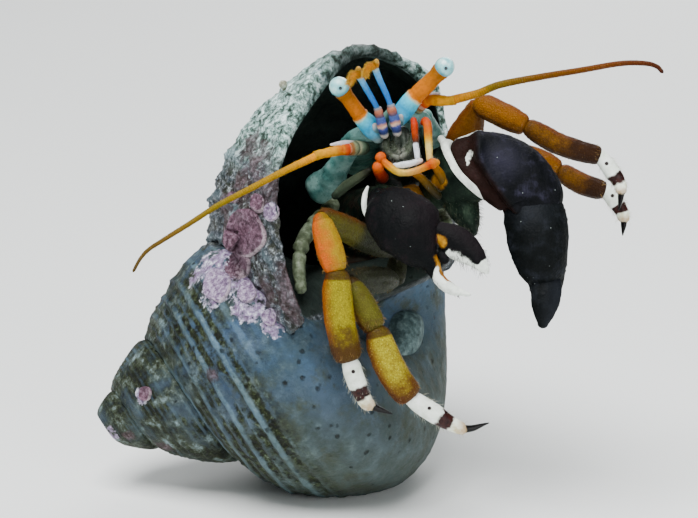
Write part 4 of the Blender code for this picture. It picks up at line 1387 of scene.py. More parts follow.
# %% segments of a leg
# Joints from the body on, the two ends of the dactyl with its bend, how far the propodus bows, the dot on the
# dactyl, and the membranes at knee and wrist
LEGS = {
    "leg_R1": (((5.2, 3.9, 6.9), (4, 0.8, 9.8), (-2.7, 4, 17.5), (-1.2, -1.1, 18.2)),
               ((0, -9.5, 17.2), (0.8, -11.9, 16.4), (1.8, -13.7, 15.9), (4.1, -14.7, 15.6)),
               0.3, (0.4, -10.6), "rosy", "brown"),
    "leg_R2": (((5.4, 1.9, 3.9), (4.4, -2, 8.2), (0.1, -2.1, 15.8), (2.5, -6.6, 16.8)),
               ((5.8, -13.1, 16), (7.7, -14.4, 15.6), (10.8, -16.1, 15), (13.3, -15.6, 14.6)),
               0.4, (7.6, -14.1), "dark", "brown"),
    "leg_L1": (((8.6, 8.8, 2.6), (10.6, 10, 4.6), (12.5, 15.1, 10), (17, 12.8, 11)),
               ((24.2, 9.9, 11.5), (25.2, 8.5, 11.8), (26.1, 6.8, 12), (25.9, 4.7, 12.2)),
               0.4, (24.7, 9.15), "rosy", "pale"),
    "leg_L2": (((8.5, 6.7, 0), (10.6, 7.4, 2), (16.8, 10.7, 4.5), (20.6, 8.7, 5)),
               ((25.2, 6.7, 5.5), (26.2, 5.6, 5.7), (26.9, 4.1, 6), (26.8, 2.3, 6.2)),
               0.3, (25.8, 6.2), "dark", "brown"),
}
KINDS = ("base", "merus", "carpus", "propodus", "dactyl")
LEG_SIZES = {
    "R": ((0.95, 0.95), (1.3, 1.05), (1.25, 1.05), (1.42, 1.15), (0.92, 0.8)),
    "L": ((1.15, 1.05), (1.5, 1.1), (1.16, 0.95), (1.02, 0.9), (0.8, 0.7))}
# Outlines, as (share of the length, share of the breadth)
OUTLINES = {
    "leg_L1_carpus": ((0, 0.86), (0.1, 1), (0.4, 1.06), (0.7, 1.04), (0.9, 0.96), (1, 0.9)),
    "leg_L1_propodus": ((0, 0.92), (0.06, 0.98), (0.2, 1.02), (0.5, 1.02), (0.8, 0.98), (0.94, 0.92), (1, 0.84)),
    "leg_L2_propodus": ((0, 0.9), (0.06, 0.98), (0.2, 1.02), (0.5, 1.04), (0.8, 1), (0.94, 0.94), (1, 0.86)),
    "base": ((0, 0.85), (0.3, 1), (0.7, 1), (1, 1.05)),
    "merus": ((0, 0.62), (0.12, 0.86), (0.4, 1), (0.75, 0.96), (1, 0.78)),
    "leg_L1_merus": ((0, 0.8), (0.12, 1.05), (0.35, 1.15), (0.65, 0.92), (0.88, 0.68), (1, 0.56)),
    "carpus": ((0, 0.66), (0.12, 0.82), (0.4, 0.98), (0.7, 1.03), (0.9, 0.97), (1, 0.88)),
    "propodus": ((0, 0.82), (0.06, 0.91), (0.2, 0.98), (0.5, 1.02), (0.8, 1), (0.94, 0.95), (1, 0.87)),
    "dactyl": ((0, 0.78), (0.1, 0.94), (0.3, 1), (0.48, 0.86), (0.62, 0.72), (0.7, 0.6), (0.73, 0.42),
               (0.82, 0.33), (0.92, 0.19), (1, 0.06)),
}
SETBACK = (0.1, 0.3, 0.3, 0.62)  # how far each segment starts beyond its joint, in millimetres


def segment_limb(leg, kind, places, size, bow=0):
    """A limb through these places of the board, with its own outline or the one of its kind."""
    path = Limb([(*place, 1, 1) for place in places])
    stations = []
    for share, breadth in OUTLINES.get(f"{leg}_{kind}", OUTLINES[kind]):
        centre, run, side = path.frame(share)[:3]
        spot = board(centre + side * (4 * bow * share * (1 - share)) * MM)
        stations.append((*spot, size[0] * breadth, size[1] * breadth))
    return Limb(stations, square=0.92)


def shortened(first, last, near_end, far_end):
    """Two places drawn toward each other by these millimetres."""
    first, last = Vector(first), Vector(last)
    run = (last - first).normalized()
    return tuple(first + run * near_end), tuple(last - run * far_end)


def leg_relief(size):
    """Low lengthwise ridges and fine grains."""
    def lift(run, turn, place):
        rows = 0.018 * cos(turn * 9) * fade(0, 0.2, run)
        return size * rows + 0.055 * rough(place, 0.7) + 0.035 * grains(place, 3.4, 0.34)
    return lift


print("leg segments:", list(OUTLINES))

# %% leg finishes
def leg_finish(name, face, flank, edge, distal, start, fleck=(0.72, 0.52, 0.12), ring=0.8):
    """Horny shell: a face painted bright as the lit side, deeper-coloured flanks painted darker as the shaded
    sides, one edge of its own colour, and a darker far end.
    """
    f = Finish(name, roughness=0.42, coat=0.02, shine=0.12)
    mottle = f.noise(0.8, 5, 0.6)
    fine = f.noise(3, 4, 0.6)
    waver = f.spread(mottle, -0.22, 0.22)
    # Painted light: the face mark lays the bright face colour on the lit side, the flank colour on the shaded
    # sides.
    f.ground = f.blend(f.ramp(f.plus(f.mark("face"), waver), 0.05, 0.85), flank, face)
    f.lay(f.ramp(f.plus(f.mark("edge"), waver), 0.25, 0.85), edge)
    run_mark = f.mark("run")
    far = f.ramp(f.waver(run_mark, mottle, 0.14), start, start + 0.3)
    f.lay(f.times(far, 0.94), distal)
    f.lay(f.ramp(f.noise(1.7, 5, 0.65), 0.44, 0.66, 0, 0.55), f.blend(0.6, f.ground, distal))
    grooves = f.ramp(f.cells(4.6, "DISTANCE_TO_EDGE"), 0.14, 0.02, 0, 0.45)
    f.lay(grooves, f.blend(0.75, f.ground, distal))
    points = f.ramp(f.cells(4.6), 0.3, 0.12)
    points = f.times(points, f.ramp(fine, 0.36, 0.58, 0.15, 0.6))
    f.lay(f.times(points, f.ramp(far, 0, 1, 1, 0.3)), fleck)
    pores = f.ramp(f.cells(4.2, "SMOOTH_F1"), 0.3, 0.18, 0, 0.5)
    f.lay(f.times(pores, 0.5), distal)
    f.lay(f.ramp(run_mark, 0.04, 0.012, 0, ring), (0.06, 0.022, 0.008))
    shaded = f.ramp(f.waver(f.mark("shade"), mottle, 0.15), 0.1, 0.9)
    f.lay(f.times(shaded, 0.9), f.steps(fine, (0.35, 0.014, 0.016, 0.009), (0.65, 0.06, 0.07, 0.045)))
    relief = f.relief(
        f.plus(fine, f.sums("SUBTRACT", f.times(points, 0.9), grooves)), 0.1, f.relief(f.noise(8, 3), 0.02))
    return f.done(f.spread(fine, 0.38, 0.54), relief)


def dactyl_finish():
    """White shell with a dot, a maroon band, a cream end and a black nail, by their marks."""
    f = Finish("dactyl", roughness=0.42, coat=0.04, skin=0.08, skin_colour=(0.8, 0.9, 0.8))
    mottle = f.noise(1.1, 5, 0.6)
    run = f.waver(f.mark("run"), f.noise(1.4, 4), 0.022)
    ivory = f.steps(mottle, (0.3, 0.72, 0.78, 0.68), (0.5, 0.86, 0.91, 0.84), (0.7, 0.96, 1, 0.96))
    cream = f.steps(mottle, (0.35, 0.66, 0.62, 0.42), (0.55, 0.9, 0.94, 0.82))
    f.ground = f.blend(f.ramp(run, 0.5, 0.6), ivory, cream)
    band = f.steps(f.noise(2.2, 4), (0.35, 0.02, 0.007, 0.007), (0.65, 0.075, 0.024, 0.02))
    shares = f.times(f.ramp(run, 0.375, 0.4), f.ramp(run, 0.565, 0.535))
    f.lay(shares, band)
    f.lay(f.ramp(f.mark("dot"), 0.4, 0.55), (0.025, 0.012, 0.01))
    rust = f.times(f.ramp(run, 0.6, 0.68), f.ramp(run, 0.76, 0.73))
    f.lay(f.times(rust, 0.5), (0.36, 0.15, 0.03))
    nail = f.ramp(run, 0.725, 0.745)
    f.lay(nail, (0.01, 0.009, 0.009))
    pores = f.ramp(f.cells(3), 0.12, 0.05, 0, 0.35)
    f.lay(f.times(pores, f.ramp(nail, 1, 0)), (0.3, 0.27, 0.2))
    relief = f.relief(f.sums("SUBTRACT", mottle, pores), 0.05, f.relief(f.noise(7, 3), 0.02))
    return f.done(f.ramp(nail, 0, 1, 0.34, 0.16), relief)


GOLD = (0.43, 0.385, 0.012)
OCHRE = (0.3, 0.165, 0.006)
VERMILION = (0.66, 0.155, 0.012)
BURNT = (0.095, 0.042, 0.006)
leg_gold = leg_finish("leg gold", GOLD, OCHRE, (0.44, 0.15, 0.008), BURNT, 0.56, fleck=(0.62, 0.57, 0.1))
leg_gold_red = leg_finish(
    "leg gold and red", (0.42, 0.3, 0.01), (0.36, 0.22, 0.008), VERMILION, (0.34, 0.16, 0.02), 0.95,
    fleck=(0.58, 0.38, 0.06), ring=0.3)
leg_ochre = leg_finish(
    "leg ochre", (0.5, 0.45, 0.03), (0.21, 0.095, 0.006), (0.23, 0.085, 0.008), (0.13, 0.046, 0.006), 0.62,
    fleck=(0.72, 0.68, 0.2))
leg_olive = leg_finish(
    "leg olive", (0.165, 0.165, 0.022), (0.125, 0.105, 0.01), (0.17, 0.065, 0.012), (0.08, 0.04, 0.01), 0.9,
    fleck=(0.28, 0.27, 0.08))
leg_amber = leg_finish(
    "leg amber", (0.3, 0.135, 0.003), (0.15, 0.062, 0.003), (0.22, 0.07, 0.004), (0.22, 0.085, 0.008), 0.95,
    fleck=(0.4, 0.23, 0.02), ring=0)
leg_russet = leg_finish(
    "leg russet", (0.24, 0.115, 0.004), (0.12, 0.05, 0.004), (0.22, 0.065, 0.005), (0.05, 0.02, 0.006), 0.42,
    fleck=(0.26, 0.13, 0.015), ring=0.15)
dactyl_shell = dactyl_finish()
LEG_WEAR = {
    "leg_R1": (leg_olive, leg_olive, leg_gold_red, leg_gold),
    "leg_R2": (leg_olive, leg_olive, leg_olive, leg_ochre),
    "leg_L1": (leg_amber, leg_amber, leg_amber, leg_russet),
    "leg_L2": (leg_amber, leg_amber, leg_amber, leg_russet)}
print("leg finishes: 6")

# %% growing the legs
JOINT_GAP = 0.32  # millimetres left free before a joint
SLEEVE_REACH = 0.55  # how far a membrane reaches into the segments at either side
SLEEVE_SHARE = 0.62
leg_limbs = {}


def red_edge(leg, kind):
    """The edge toward the animal's right, as seen from the front; on one carpus it is half of the face."""
    if leg == "leg_R1" and kind == "carpus":
        return lambda run, turn, place: facing(turn, 28, 72)
    return lambda run, turn, place: facing(turn, 0, 55) if leg[4] == "R" else facing(turn, 180, 60)


def bright_face(run, turn, place):
    """The side that catches the light, a little right of the middle."""
    return facing(turn, 108, 62)


def in_shade(leg, kind):
    """How dark and furred a segment is where it lies under the body."""
    if kind == "base" or leg == "leg_R2" and kind == "merus":
        return all_over
    if leg == "leg_R1" and kind == "merus":
        return lambda run, turn, place: fade(0.62, 0.4, run)
    return lambda run, turn, place: 0


def dactyl_relief(run, turn, place):
    return (0.07 * rough(place, 0.8) + 0.04 * grains(place, 2.4)) * fade(0.75, 0.7, run)


for leg, (joints, claw, bow, dot, knee, wrist) in LEGS.items():
    sizes = LEG_SIZES[leg[4]]
    chain = [*joints, *claw]
    for i, setback in enumerate(SETBACK):
        kind = KINDS[i]
        ends = shortened(chain[i], chain[i + 1], setback, JOINT_GAP)
        limb = segment_limb(leg, kind, ends, sizes[i], bow if kind == "propodus" else 0)
        leg_limbs[f"{leg}_{kind}"] = limb
        rings = max(20, round(limb.length / MM * 7))
        marks = {"edge": red_edge(leg, kind), "face": bright_face, "shade": in_shade(leg, kind)}
        grow_part(LEG_WEAR[leg][i], "walking_leg", f"{leg}_{kind}", f"{leg}_{kind}_shell", limb, rings, 48,
                  (DOME, ROUND), leg_relief(sizes[i][0]), marks)
    limb = leg_limbs[leg + "_dactyl"] = segment_limb(leg, "dactyl", claw, sizes[4])
    spot = near(*dot, 0.37)
    grow_part(dactyl_shell, "dactyl", leg + "_dactyl", f"{leg}_dactyl_shell", limb, 72, 48, (DOME, POINT),
              dactyl_relief, {"dot": lambda run, turn, place: spot(run, turn, place) * facing(turn, 90, 75)})
    for name, joint, kind in (
        ("knee", 2, knee), ("wrist", 3, wrist), ("ankle", 4, "brown"), ("hip", 1, "dark")):
        middle = Vector(chain[joint])
        before = (middle - Vector(chain[joint - 1])).normalized()
        after = (Vector(chain[joint + 1]) - middle).normalized()
        membrane(
            f"{leg}_{name}_sleeve", tuple(middle - before * SLEEVE_REACH),
            tuple(middle + after * SLEEVE_REACH), sizes[joint][1] * SLEEVE_SHARE, kind, "walking_leg", 3)
print("legs:", len(LEGS), "segments:", len(leg_limbs))

# %% [markdown]
# ## Small hind legs
#
# Behind the walking legs are two small pairs that never leave the shell and hold on to its wall. One leg shows
# inside the mouth on the right. It is pale green, with three short segments and a rough pad at its end.

# %% small legs
SMALL_LEGS = {
    "R": ((-1.7, 5.3, 4, 0.8), (-4.2, 2.2, 10, 0.75), (-4.8, -0.3, 12.6, 0.65),
          (-4.6, -2.8, 13.2, 0.55)),
    "L": ((8, 5.6, -1.5, 0.8), (9, 4.6, 2, 0.7), (9.6, 3.6, 5, 0.5)),
}


def small_leg_relief(run, turn, place):
    waists = -0.28 * (bump(run, 0.38, 0.025) + bump(run, 0.72, 0.02)) + 0.1 * (
        bump(run, 0.33, 0.03) + bump(run, 0.68, 0.03))
    pad = 0.12 * grains(place, 3.5, 0.4) * fade(0.82, 0.92, run)
    return waists + pad + 0.06 * rough(place, 0.9)


def small_leg_finish():
    f = Finish("small leg", roughness=0.45, coat=0.04, skin=0.12, skin_colour=(0.8, 1, 0.7))
    mottle = f.noise(1.2, 5, 0.6)
    f.ground = f.steps(mottle, (0.3, 0.07, 0.09, 0.05), (0.5, 0.19, 0.225, 0.15), (0.7, 0.4, 0.46, 0.36))
    f.lay(f.ramp(f.cells(2.4), 0.18, 0.08, 0, 0.6), (0.12, 0.15, 0.08))
    return f.done(f.spread(mottle, 0.32, 0.48), f.relief(f.noise(3, 4), 0.06))


small_leg_shell = small_leg_finish()
for side, stations in SMALL_LEGS.items():
    grow_part(
        small_leg_shell, "small_leg", "small_leg_" + side, f"small_leg_{side}_shell", stations, 64, 32,
        (DOME, DOME), small_leg_relief)
print("small legs: 2")

# %% [markdown]
# ## The head
#
# A small head carries a lot: two long eyestalks, two pairs of feelers and three layers of mouthparts. Each is
# banded along its length, so one finish serves them all. It takes a list of colours with the share of the
# length where each begins, and wavers the borders with noise.

# %% banded finish
def banded(name, *stops, roughness=0.42, coat=0.01, waver=0.03, ringed=0):
    """Colours along a limb, from (share of the length, red, green, blue)."""
    f = Finish(name, roughness=roughness, coat=coat, shine=0.08)
    mottle = f.noise(1.5, 4, 0.6)
    run = f.plus(f.mark("run"), f.spread(mottle, -waver, waver))
    f.ground = f.steps(run, *stops)
    f.lay(f.ramp(f.noise(3.2, 4), 0.42, 0.64, 0, 0.35), f.blend(0.5, f.ground, (0.04, 0.02, 0.02)))
    points = f.times(f.ramp(f.cells(4.2), 0.16, 0.08), 0.16)
    f.lay(points, (0.75, 0.72, 0.6))
    relief = f.relief(mottle, 0.04, f.relief(f.noise(7, 3), 0.018))
    if ringed:
        rings = f.sums("PINGPONG", f.times(f.mark("run"), ringed), 1)
        f.lay(f.ramp(rings, 0.3, 0.06, 0, 0.18), f.blend(0.65, f.ground, (0.03, 0.012, 0.006)))
        relief = f.relief(f.ramp(rings, 0, 0.4), 0.03, relief)
    return f.done(f.spread(mottle, roughness - 0.05, roughness + 0.1), relief)


ORANGE = (0.56, 0.2, 0)
DEEP_ORANGE = (0.46, 0.175, 0)
SKY = (0.02, 0.42, 0.66)
PALE_SKY = (0.12, 0.62, 0.75)
CREAM = (0.66, 0.64, 0.46)
stalk_shell = banded(
    "eyestalk", (0, 0.3, 0.42, 0.42), (0.12, 0.14, 0.44, 0.62), (0.3, *SKY), (0.44, *PALE_SKY),
    (0.485, *CREAM), (0.515, *ORANGE), (0.72, *ORANGE), (0.88, *DEEP_ORANGE), (0.97, 0.36, 0.15, 0.003),
    waver=0.014)
print("eyestalk bands: blue, pale collar, orange")

# %% [markdown]
# A crab's eye is a ball of thousands of tiny facets. One spot of it always looks dark, where the facets point
# straight at whoever is looking. A model can't turn that spot toward each visitor, so it is set toward the
# front. The facets are a cell pattern in relief under a clear coat, and the stalk's end is rolled into a cup
# that holds the ball.

# %% eyes
EYES = {"R": (-0.9, 16.2, 17.4), "L": (9, 18.1, 16.9)}
EYE_RADIUS = 0.95
EYESTALKS = {
    "R": (
        (2.75, 11.6, 14.2, 0.6), (2.35, 12.15, 14.6, 0.88, 0.82), (1.75, 12.85, 15, 0.92, 0.86),
        (1.15, 13.5, 15.4, 0.8, 0.78), (0.5, 14.35, 16, 0.72), (-0.05, 15.1, 16.6, 0.7),
        (-0.45, 15.62, 17, 0.74)),
    "L": (
        (4.35, 12.8, 14.2, 0.6), (4.8, 13.5, 14.6, 0.88, 0.82), (5.5, 14.5, 14.9, 0.96, 0.9),
        (6.15, 15.3, 15.2, 0.86, 0.84), (7.2, 16.3, 15.8, 0.8), (7.95, 17.05, 16.2, 0.76),
        (8.5, 17.6, 16.5, 0.78))}
EYE_CUP = ((1.04, 0.1), (1.08, 0.22), (1.07, 0.36), (1, 0.44), (0.86, 0.4), (0.6, 0.3))
PUPIL_REACH = 0.62  # radians from the gaze to where the pupil fades out
GAZE = (0.12 * ACROSS - 0.2 * UP + OUT).normalized()


def stalk_relief(run, turn, place):
    """A fold under the collar, fine rings, and a slight flare at the cup."""
    fold = 0.06 * bump(run, 0.5, 0.02) - 0.05 * bump(run, 0.545, 0.02)
    return fold + 0.05 * fade(0.92, 1, run) + 0.03 * rough(place, 1.2) + 0.008 * sin(run * 130)


def cornea_finish():
    f = Finish("cornea", roughness=0.1, coat=1, skin=0.2, skin_colour=(0.6, 1, 1))
    mottle = f.noise(1.3, 4, 0.5)
    f.ground = f.steps(mottle, (0.3, 0.26, 0.62, 0.66), (0.5, 0.46, 0.84, 0.86), (0.7, 0.76, 0.97, 0.96))
    f.lay(f.ramp(f.mark("rim"), 0, 1, 0, 0.8), (0.09, 0.38, 0.44))
    facets = f.ramp(f.cells(7.5, "DISTANCE_TO_EDGE"), 0, 0.12)
    f.lay(f.ramp(facets, 0, 1, 0.22, 0), (0.1, 0.24, 0.28))
    ring = f.ramp(f.mark("pupil"), 0.3, 0.62, 0, 0.55)
    f.lay(ring, (0.12, 0.44, 0.5))
    f.lay(f.ramp(f.mark("pupil"), 0.66, 0.78), (0.004, 0.035, 0.05))
    return f.done(0.1, f.relief(facets, 0.02))


cornea = cornea_finish()
for side, stations in EYESTALKS.items():
    grow_part(
        stalk_shell, "eyestalk", "eyestalk_" + side, f"eyestalk_{side}_shell", stations, 72, 48,
        (DOME, EYE_CUP), stalk_relief)
    middle = at(*EYES[side])
    axis = (middle - at(*stations[-2][:3])).normalized()
    bm = bmesh.new()
    marks = {name: bm.verts.layers.float.new(name) for name in ("pupil", "rim")}
    bmesh.ops.create_icosphere(bm, subdivisions=6, radius=EYE_RADIUS * MM)
    bmesh.ops.transform(bm, matrix=Matrix.Translation(middle), verts=bm.verts)
    for corner in bm.verts:
        way = (corner.co - middle).normalized()
        corner.co += axis * max(0, way.dot(axis)) * 0.06 * MM
        corner[marks["pupil"]] = max(0, 1 - way.angle(GAZE) / PUPIL_REACH)
        corner[marks["rim"]] = fade(0.25, -0.45, way.dot(axis))
    wear(finished(f"cornea_{side}", bm), cornea, "cornea", "eye_" + side)
print("eyes: 2, facing", [round(x, 2) for x in GAZE])

# %% [markdown]
# Between the stalks' bases lie two small scales. They are thin plates with a finely toothed edge, grown like
# everything else but nearly flat.

# %% eye scales
SCALES = {"R": ((2.9, 12.1, 15, 0.45, 0.2), (2.6, 12.4, 15.5, 0.4, 0.2), (2.4, 12.75, 15.7, 0.2, 0.14)),
          "L": ((4.7, 12.9, 15, 0.45, 0.2), (4.8, 13.2, 15.4, 0.4, 0.2), (4.95, 13.6, 15.6, 0.2, 0.14))}
scale_shell = banded("eye scale", (0, 0.1, 0.22, 0.24), (0.6, 0.2, 0.36, 0.42), (1, 0.5, 0.46, 0.44))
for side, stations in SCALES.items():
    grow_part(
        scale_shell, "carapace", None, f"eye_scale_{side}", stations, 20, 28, (DOME, POINT),
        lambda run, turn, place: 0.05 * max(0, sin(run * 40)) * (facing(turn, 0, 20) + facing(turn, 180, 20)))
print("eye scales: 2")

# %% [markdown]
# ## Feelers
#
# The short pair, the antennules, stand on long blue stems above a striped base, and end in a thick orange brush
# that bends over. The long pair, the antennae, have a stout jointed stalk with a spine on it, and then a whip
# of many short rings. A curve with a bevel would make smooth wires. Grown as limbs, they can have a groove at
# every ring.

# %% antennules
ANTENNULE_BASES = {
    "R": (
        ((3.35, 11.8, 15.6, 0.42), (3.15, 12.6, 16, 0.48, 0.46), (2.95, 13.35, 16.25, 0.42)),
        ((2.95, 13.4, 16.3, 0.4), (2.8, 13.9, 16.4, 0.42, 0.4), (2.68, 14.25, 16.5, 0.34))),
    "L": (
        ((4.55, 12, 15.7, 0.44, 0.42), (4.4, 12.8, 16.1, 0.5, 0.46), (4.2, 13.6, 16.3, 0.44, 0.42)),
        ((4.2, 13.6, 16.35, 0.42, 0.4), (4.05, 14.1, 16.4, 0.44, 0.4), (3.95, 14.55, 16.5, 0.34)))}
ANTENNULE_STEMS = {
    "R": ((2.68, 14.2, 16.5, 0.25), (2.2, 15.1, 16.7, 0.28), (1.6, 16.1, 17.1, 0.3), (1, 17.15, 17.6, 0.32)),
    "L": (
        (3.93, 14.5, 16.5, 0.25), (3.5, 15.6, 16.7, 0.28), (2.95, 16.75, 17.1, 0.3),
        (2.45, 17.9, 17.7, 0.32))}
BRUSHES = {
    "R": (
        (1, 17.1, 17.7, 0.24), (0.78, 17.3, 18, 0.28, 0.26), (0.45, 17.2, 18.4, 0.28, 0.26),
        (0.22, 16.8, 18.7, 0.26, 0.24), (0.1, 16.35, 18.9, 0.18)),
    "L": (
        (2.42, 17.9, 17.8, 0.24), (2.2, 18.1, 18.1, 0.28, 0.26), (1.88, 17.95, 18.4, 0.28, 0.26),
        (1.68, 17.5, 18.7, 0.26, 0.24), (1.6, 17, 19, 0.18))}
THREADS = {
    "R": ((1.05, 17.25, 17.6, 0.26), (1, 17.65, 17.9, 0.25), (0.85, 17.9, 18.3, 0.25)),
    "L": ((2.5, 18, 17.7, 0.26), (2.6, 18.35, 17.9, 0.25), (2.55, 18.6, 18.3, 0.25)),
}
stem_shell = banded(
    "antennule stem", (0, 0.07, 0.22, 0.4), (0.15, 0.028, 0.19, 0.52), (0.55, 0.045, 0.28, 0.64),
    (0.9, 0.16, 0.46, 0.72), (1, 0.4, 0.55, 0.55))
striped_shell = banded(
    "striped base", (0, 0.46, 0.44, 0.4), (0.14, 0.03, 0.05, 0.13), (0.4, 0.07, 0.1, 0.3),
    (0.52, 0.62, 0.46, 0.36), (0.62, 0.52, 0.28, 0.2), (0.74, 0.08, 0.12, 0.32), (1, 0.1, 0.16, 0.36),
    waver=0.05)
brown_joint = banded(
    "brown joint", (0, 0.1, 0.09, 0.16), (0.4, 0.36, 0.15, 0.1), (0.75, 0.48, 0.22, 0.15),
    (1, 0.28, 0.3, 0.34))
brush_shell = banded(
    "antennule brush", (0, 0.34, 0.36, 0.28), (0.14, 0.58, 0.26, 0.0045), (0.6, 0.64, 0.3, 0.0045),
    (1, 0.58, 0.36, 0.06), roughness=0.4, coat=0.15, ringed=26)
brush_limbs = {}


def ringed(count, depth):
    """Short rings along a feeler, with a groove between them."""
    return lambda run, turn, place: -depth * (
        0.5 + 0.5 * cos(run * count * 2 * pi)) ** 3 + 0.01 * rough(place, 2.5)


for side in "RL":
    for number, stations in enumerate(ANTENNULE_BASES[side]):
        grow_part(
            striped_shell if number == 0 else brown_joint, "antennule_stem", None,
            f"antennule_{side}_base_{number}", stations, 30, 28, (DOME, CUP),
            lambda run, turn, place: 0.04 * rough(place, 1.5) + 0.04 * bump(run, 0.95, 0.05))
    grow_part(
        stem_shell, "antennule_stem", "antennule_" + side, f"antennule_{side}_stem", ANTENNULE_STEMS[side],
        60, 24, (DOME, CUP),
        lambda run, turn, place: 0.015 * rough(place, 1.8) + 0.03 * bump(run, 0.97, 0.03))
    brush_limbs[side] = Limb(BRUSHES[side])
    grow_part(
        brush_shell, "antennule_flagellum", "antennule_tip_" + side, f"antennule_{side}_brush",
        brush_limbs[side], 104, 24, (DOME, POINT), ringed(13, 0.05))
    grow_part(
        brush_shell, "antennule_flagellum", None, f"antennule_{side}_thread", THREADS[side], 40, 16,
        (DOME, POINT), ringed(6, 0.02))
print("antennules: 2, each of 5 parts")

# %% antennae
ANTENNA_STALKS = {
    "R": (
        ((1.3, 10.6, 13.4, 0.72, 0.75), (0.6, 10.6, 14, 0.74, 0.72), (0.1, 10.5, 14.4, 0.66, 0.64)),
        ((0.2, 10.5, 14.3, 0.5), (-0.2, 10.45, 14.6, 0.6, 0.56), (-0.6, 10.4, 14.8, 0.54, 0.52)),
        ((-0.5, 10.4, 14.8, 0.44), (-1.4, 10.2, 15.1, 0.52, 0.5), (-2.4, 9.98, 15.4, 0.5, 0.48),
         (-3.2, 9.75, 15.7, 0.46, 0.44))),
    "L": (
        ((6, 13.9, 12.6, 0.68), (6.4, 14.4, 13.2, 0.7, 0.68), (6.8, 14.7, 13.7, 0.62, 0.6)),
        ((6.7, 14.6, 13.7, 0.5), (7.1, 14.95, 14, 0.62, 0.58), (7.5, 15.1, 14.3, 0.56, 0.54)),
        ((7.4, 15.1, 14.3, 0.48), (8.3, 15.1, 14.7, 0.54, 0.52), (9.3, 15.05, 15.1, 0.52, 0.5),
         (10, 15.1, 15.4, 0.48, 0.46)))}
ANTENNA_WHIPS = {
    "R": (
        (-3, 9.82, 15.6), (-6.1, 8.3, 17), (-9.3, 6.6, 18), (-12.3, 5, 19), (-14.9, 3.3, 19.8),
        (-17.1, 1.9, 20.5), (-18.6, 0.9, 21), (-19.4, 0, 21.3), (-20, -1.1, 21.5)),
    "L": (
        (9.8, 15.08, 15.35), (12.2, 15.7, 15.6), (14.3, 16.5, 16), (18, 17.2, 16.5), (21.8, 17.8, 17),
        (25.5, 18.4, 17.5), (27.8, 18.4, 17.9), (28.9, 18.1, 18.1), (29.4, 17.6, 18.2))}
WHIP_RADII = {"R": (0.4, 0.15), "L": (0.45, 0.2)}
ACICLES = {
    "R": ((0.5, 11, 14.2, 0.3, 0.22), (-0.5, 11, 14.8, 0.28, 0.2), (-1.7, 10.85, 15.3, 0.12)),
    "L": ((6.7, 15.2, 13.5, 0.3, 0.22), (7.6, 15.6, 14.2, 0.26, 0.2), (8.6, 15.75, 14.8, 0.12))}
stalk_green = banded(
    "antenna base", (0, 0.06, 0.09, 0.06), (0.35, 0.2, 0.27, 0.19), (0.55, 0.42, 0.42, 0.28),
    (0.62, 0.1, 0.13, 0.09), (0.8, 0.3, 0.33, 0.2), (1, 0.34, 0.16, 0.06), waver=0.06)
stalk_red = banded(
    "antenna joint", (0, 0.55, 0.4, 0.32), (0.3, 0.6, 0.33, 0.22), (0.5, 0.52, 0.07, 0.006),
    (0.85, 0.56, 0.13, 0.006), (1, 0.58, 0.22, 0.006))
stalk_orange = banded(
    "antenna stalk", (0, 0.52, 0.13, 0.0015), (0.3, 0.62, 0.3, 0.0006), (0.8, 0.6, 0.32, 0.0009),
    (1, 0.5, 0.28, 0.009))
whip_finish = {
    "R": banded(
        "right whip", (0, 0.78, 0.36, 0), (0.2, 0.42, 0.25, 0.001), (0.5, 0.27, 0.2, 0.006),
        (0.75, 0.2, 0.125, 0.015), (1, 0.12, 0.08, 0.02), roughness=0.42, ringed=180),
    "L": banded(
        "left whip", (0, 0.56, 0.25, 0), (0.2, 0.2, 0.14, 0.001), (0.42, 0.19, 0.085, 0.001),
        (0.75, 0.18, 0.06, 0.004), (1, 0.09, 0.022, 0.005), roughness=0.42, ringed=180)}
acicle_shell = banded("antenna spine", (0, 0.34, 0.34, 0.3), (0.4, 0.62, 0.56, 0.58), (1, 0.7, 0.66, 0.66))
whip_limbs = {}
for side in "RL":
    first, second, third = ANTENNA_STALKS[side]
    grow_part(
        stalk_orange, "antenna", "antenna_base_" + side, f"antenna_{side}_stalk", third, 56, 36, (DOME, CUP),
        plate_relief)
    grow_part(stalk_green, "antenna", None, f"antenna_{side}_foot", first, 30, 36, (DOME, CUP), plate_relief)
    grow_part(stalk_red, "antenna", None, f"antenna_{side}_joint", second, 24, 32, (DOME, CUP), plate_relief)
    grow_part(acicle_shell, "antenna", None, f"antenna_{side}_spine", ACICLES[side], 30, 16, (DOME, POINT))
    thick, thin = WHIP_RADII[side]
    places = ANTENNA_WHIPS[side]
    radii = [thick + (thin - thick) * (i / (len(places) - 1)) ** 0.7 for i in range(len(places))]
    whip_limbs[side] = Limb([(*place, radius) for place, radius in zip(places, radii)])
    grow_part(
        whip_finish[side], "antenna", "antenna_whip_" + side, f"antenna_{side}_whip", whip_limbs[side],
        90 * 5, 14, (DOME, POINT), ringed(90, 0.01))
print("whips in mm:", {side: round(limb.length / MM, 1) for side, limb in whip_limbs.items()})

# %% [markdown]
# ## Mouthparts
#
# The outermost mouthparts, the third maxillipeds, are a pair of small jointed legs, banded in red, orange,
# yellow and white. The crab holds one across its mouth and the other upright. Behind them the inner mouthparts
# show as pale folded plates with white brushes.

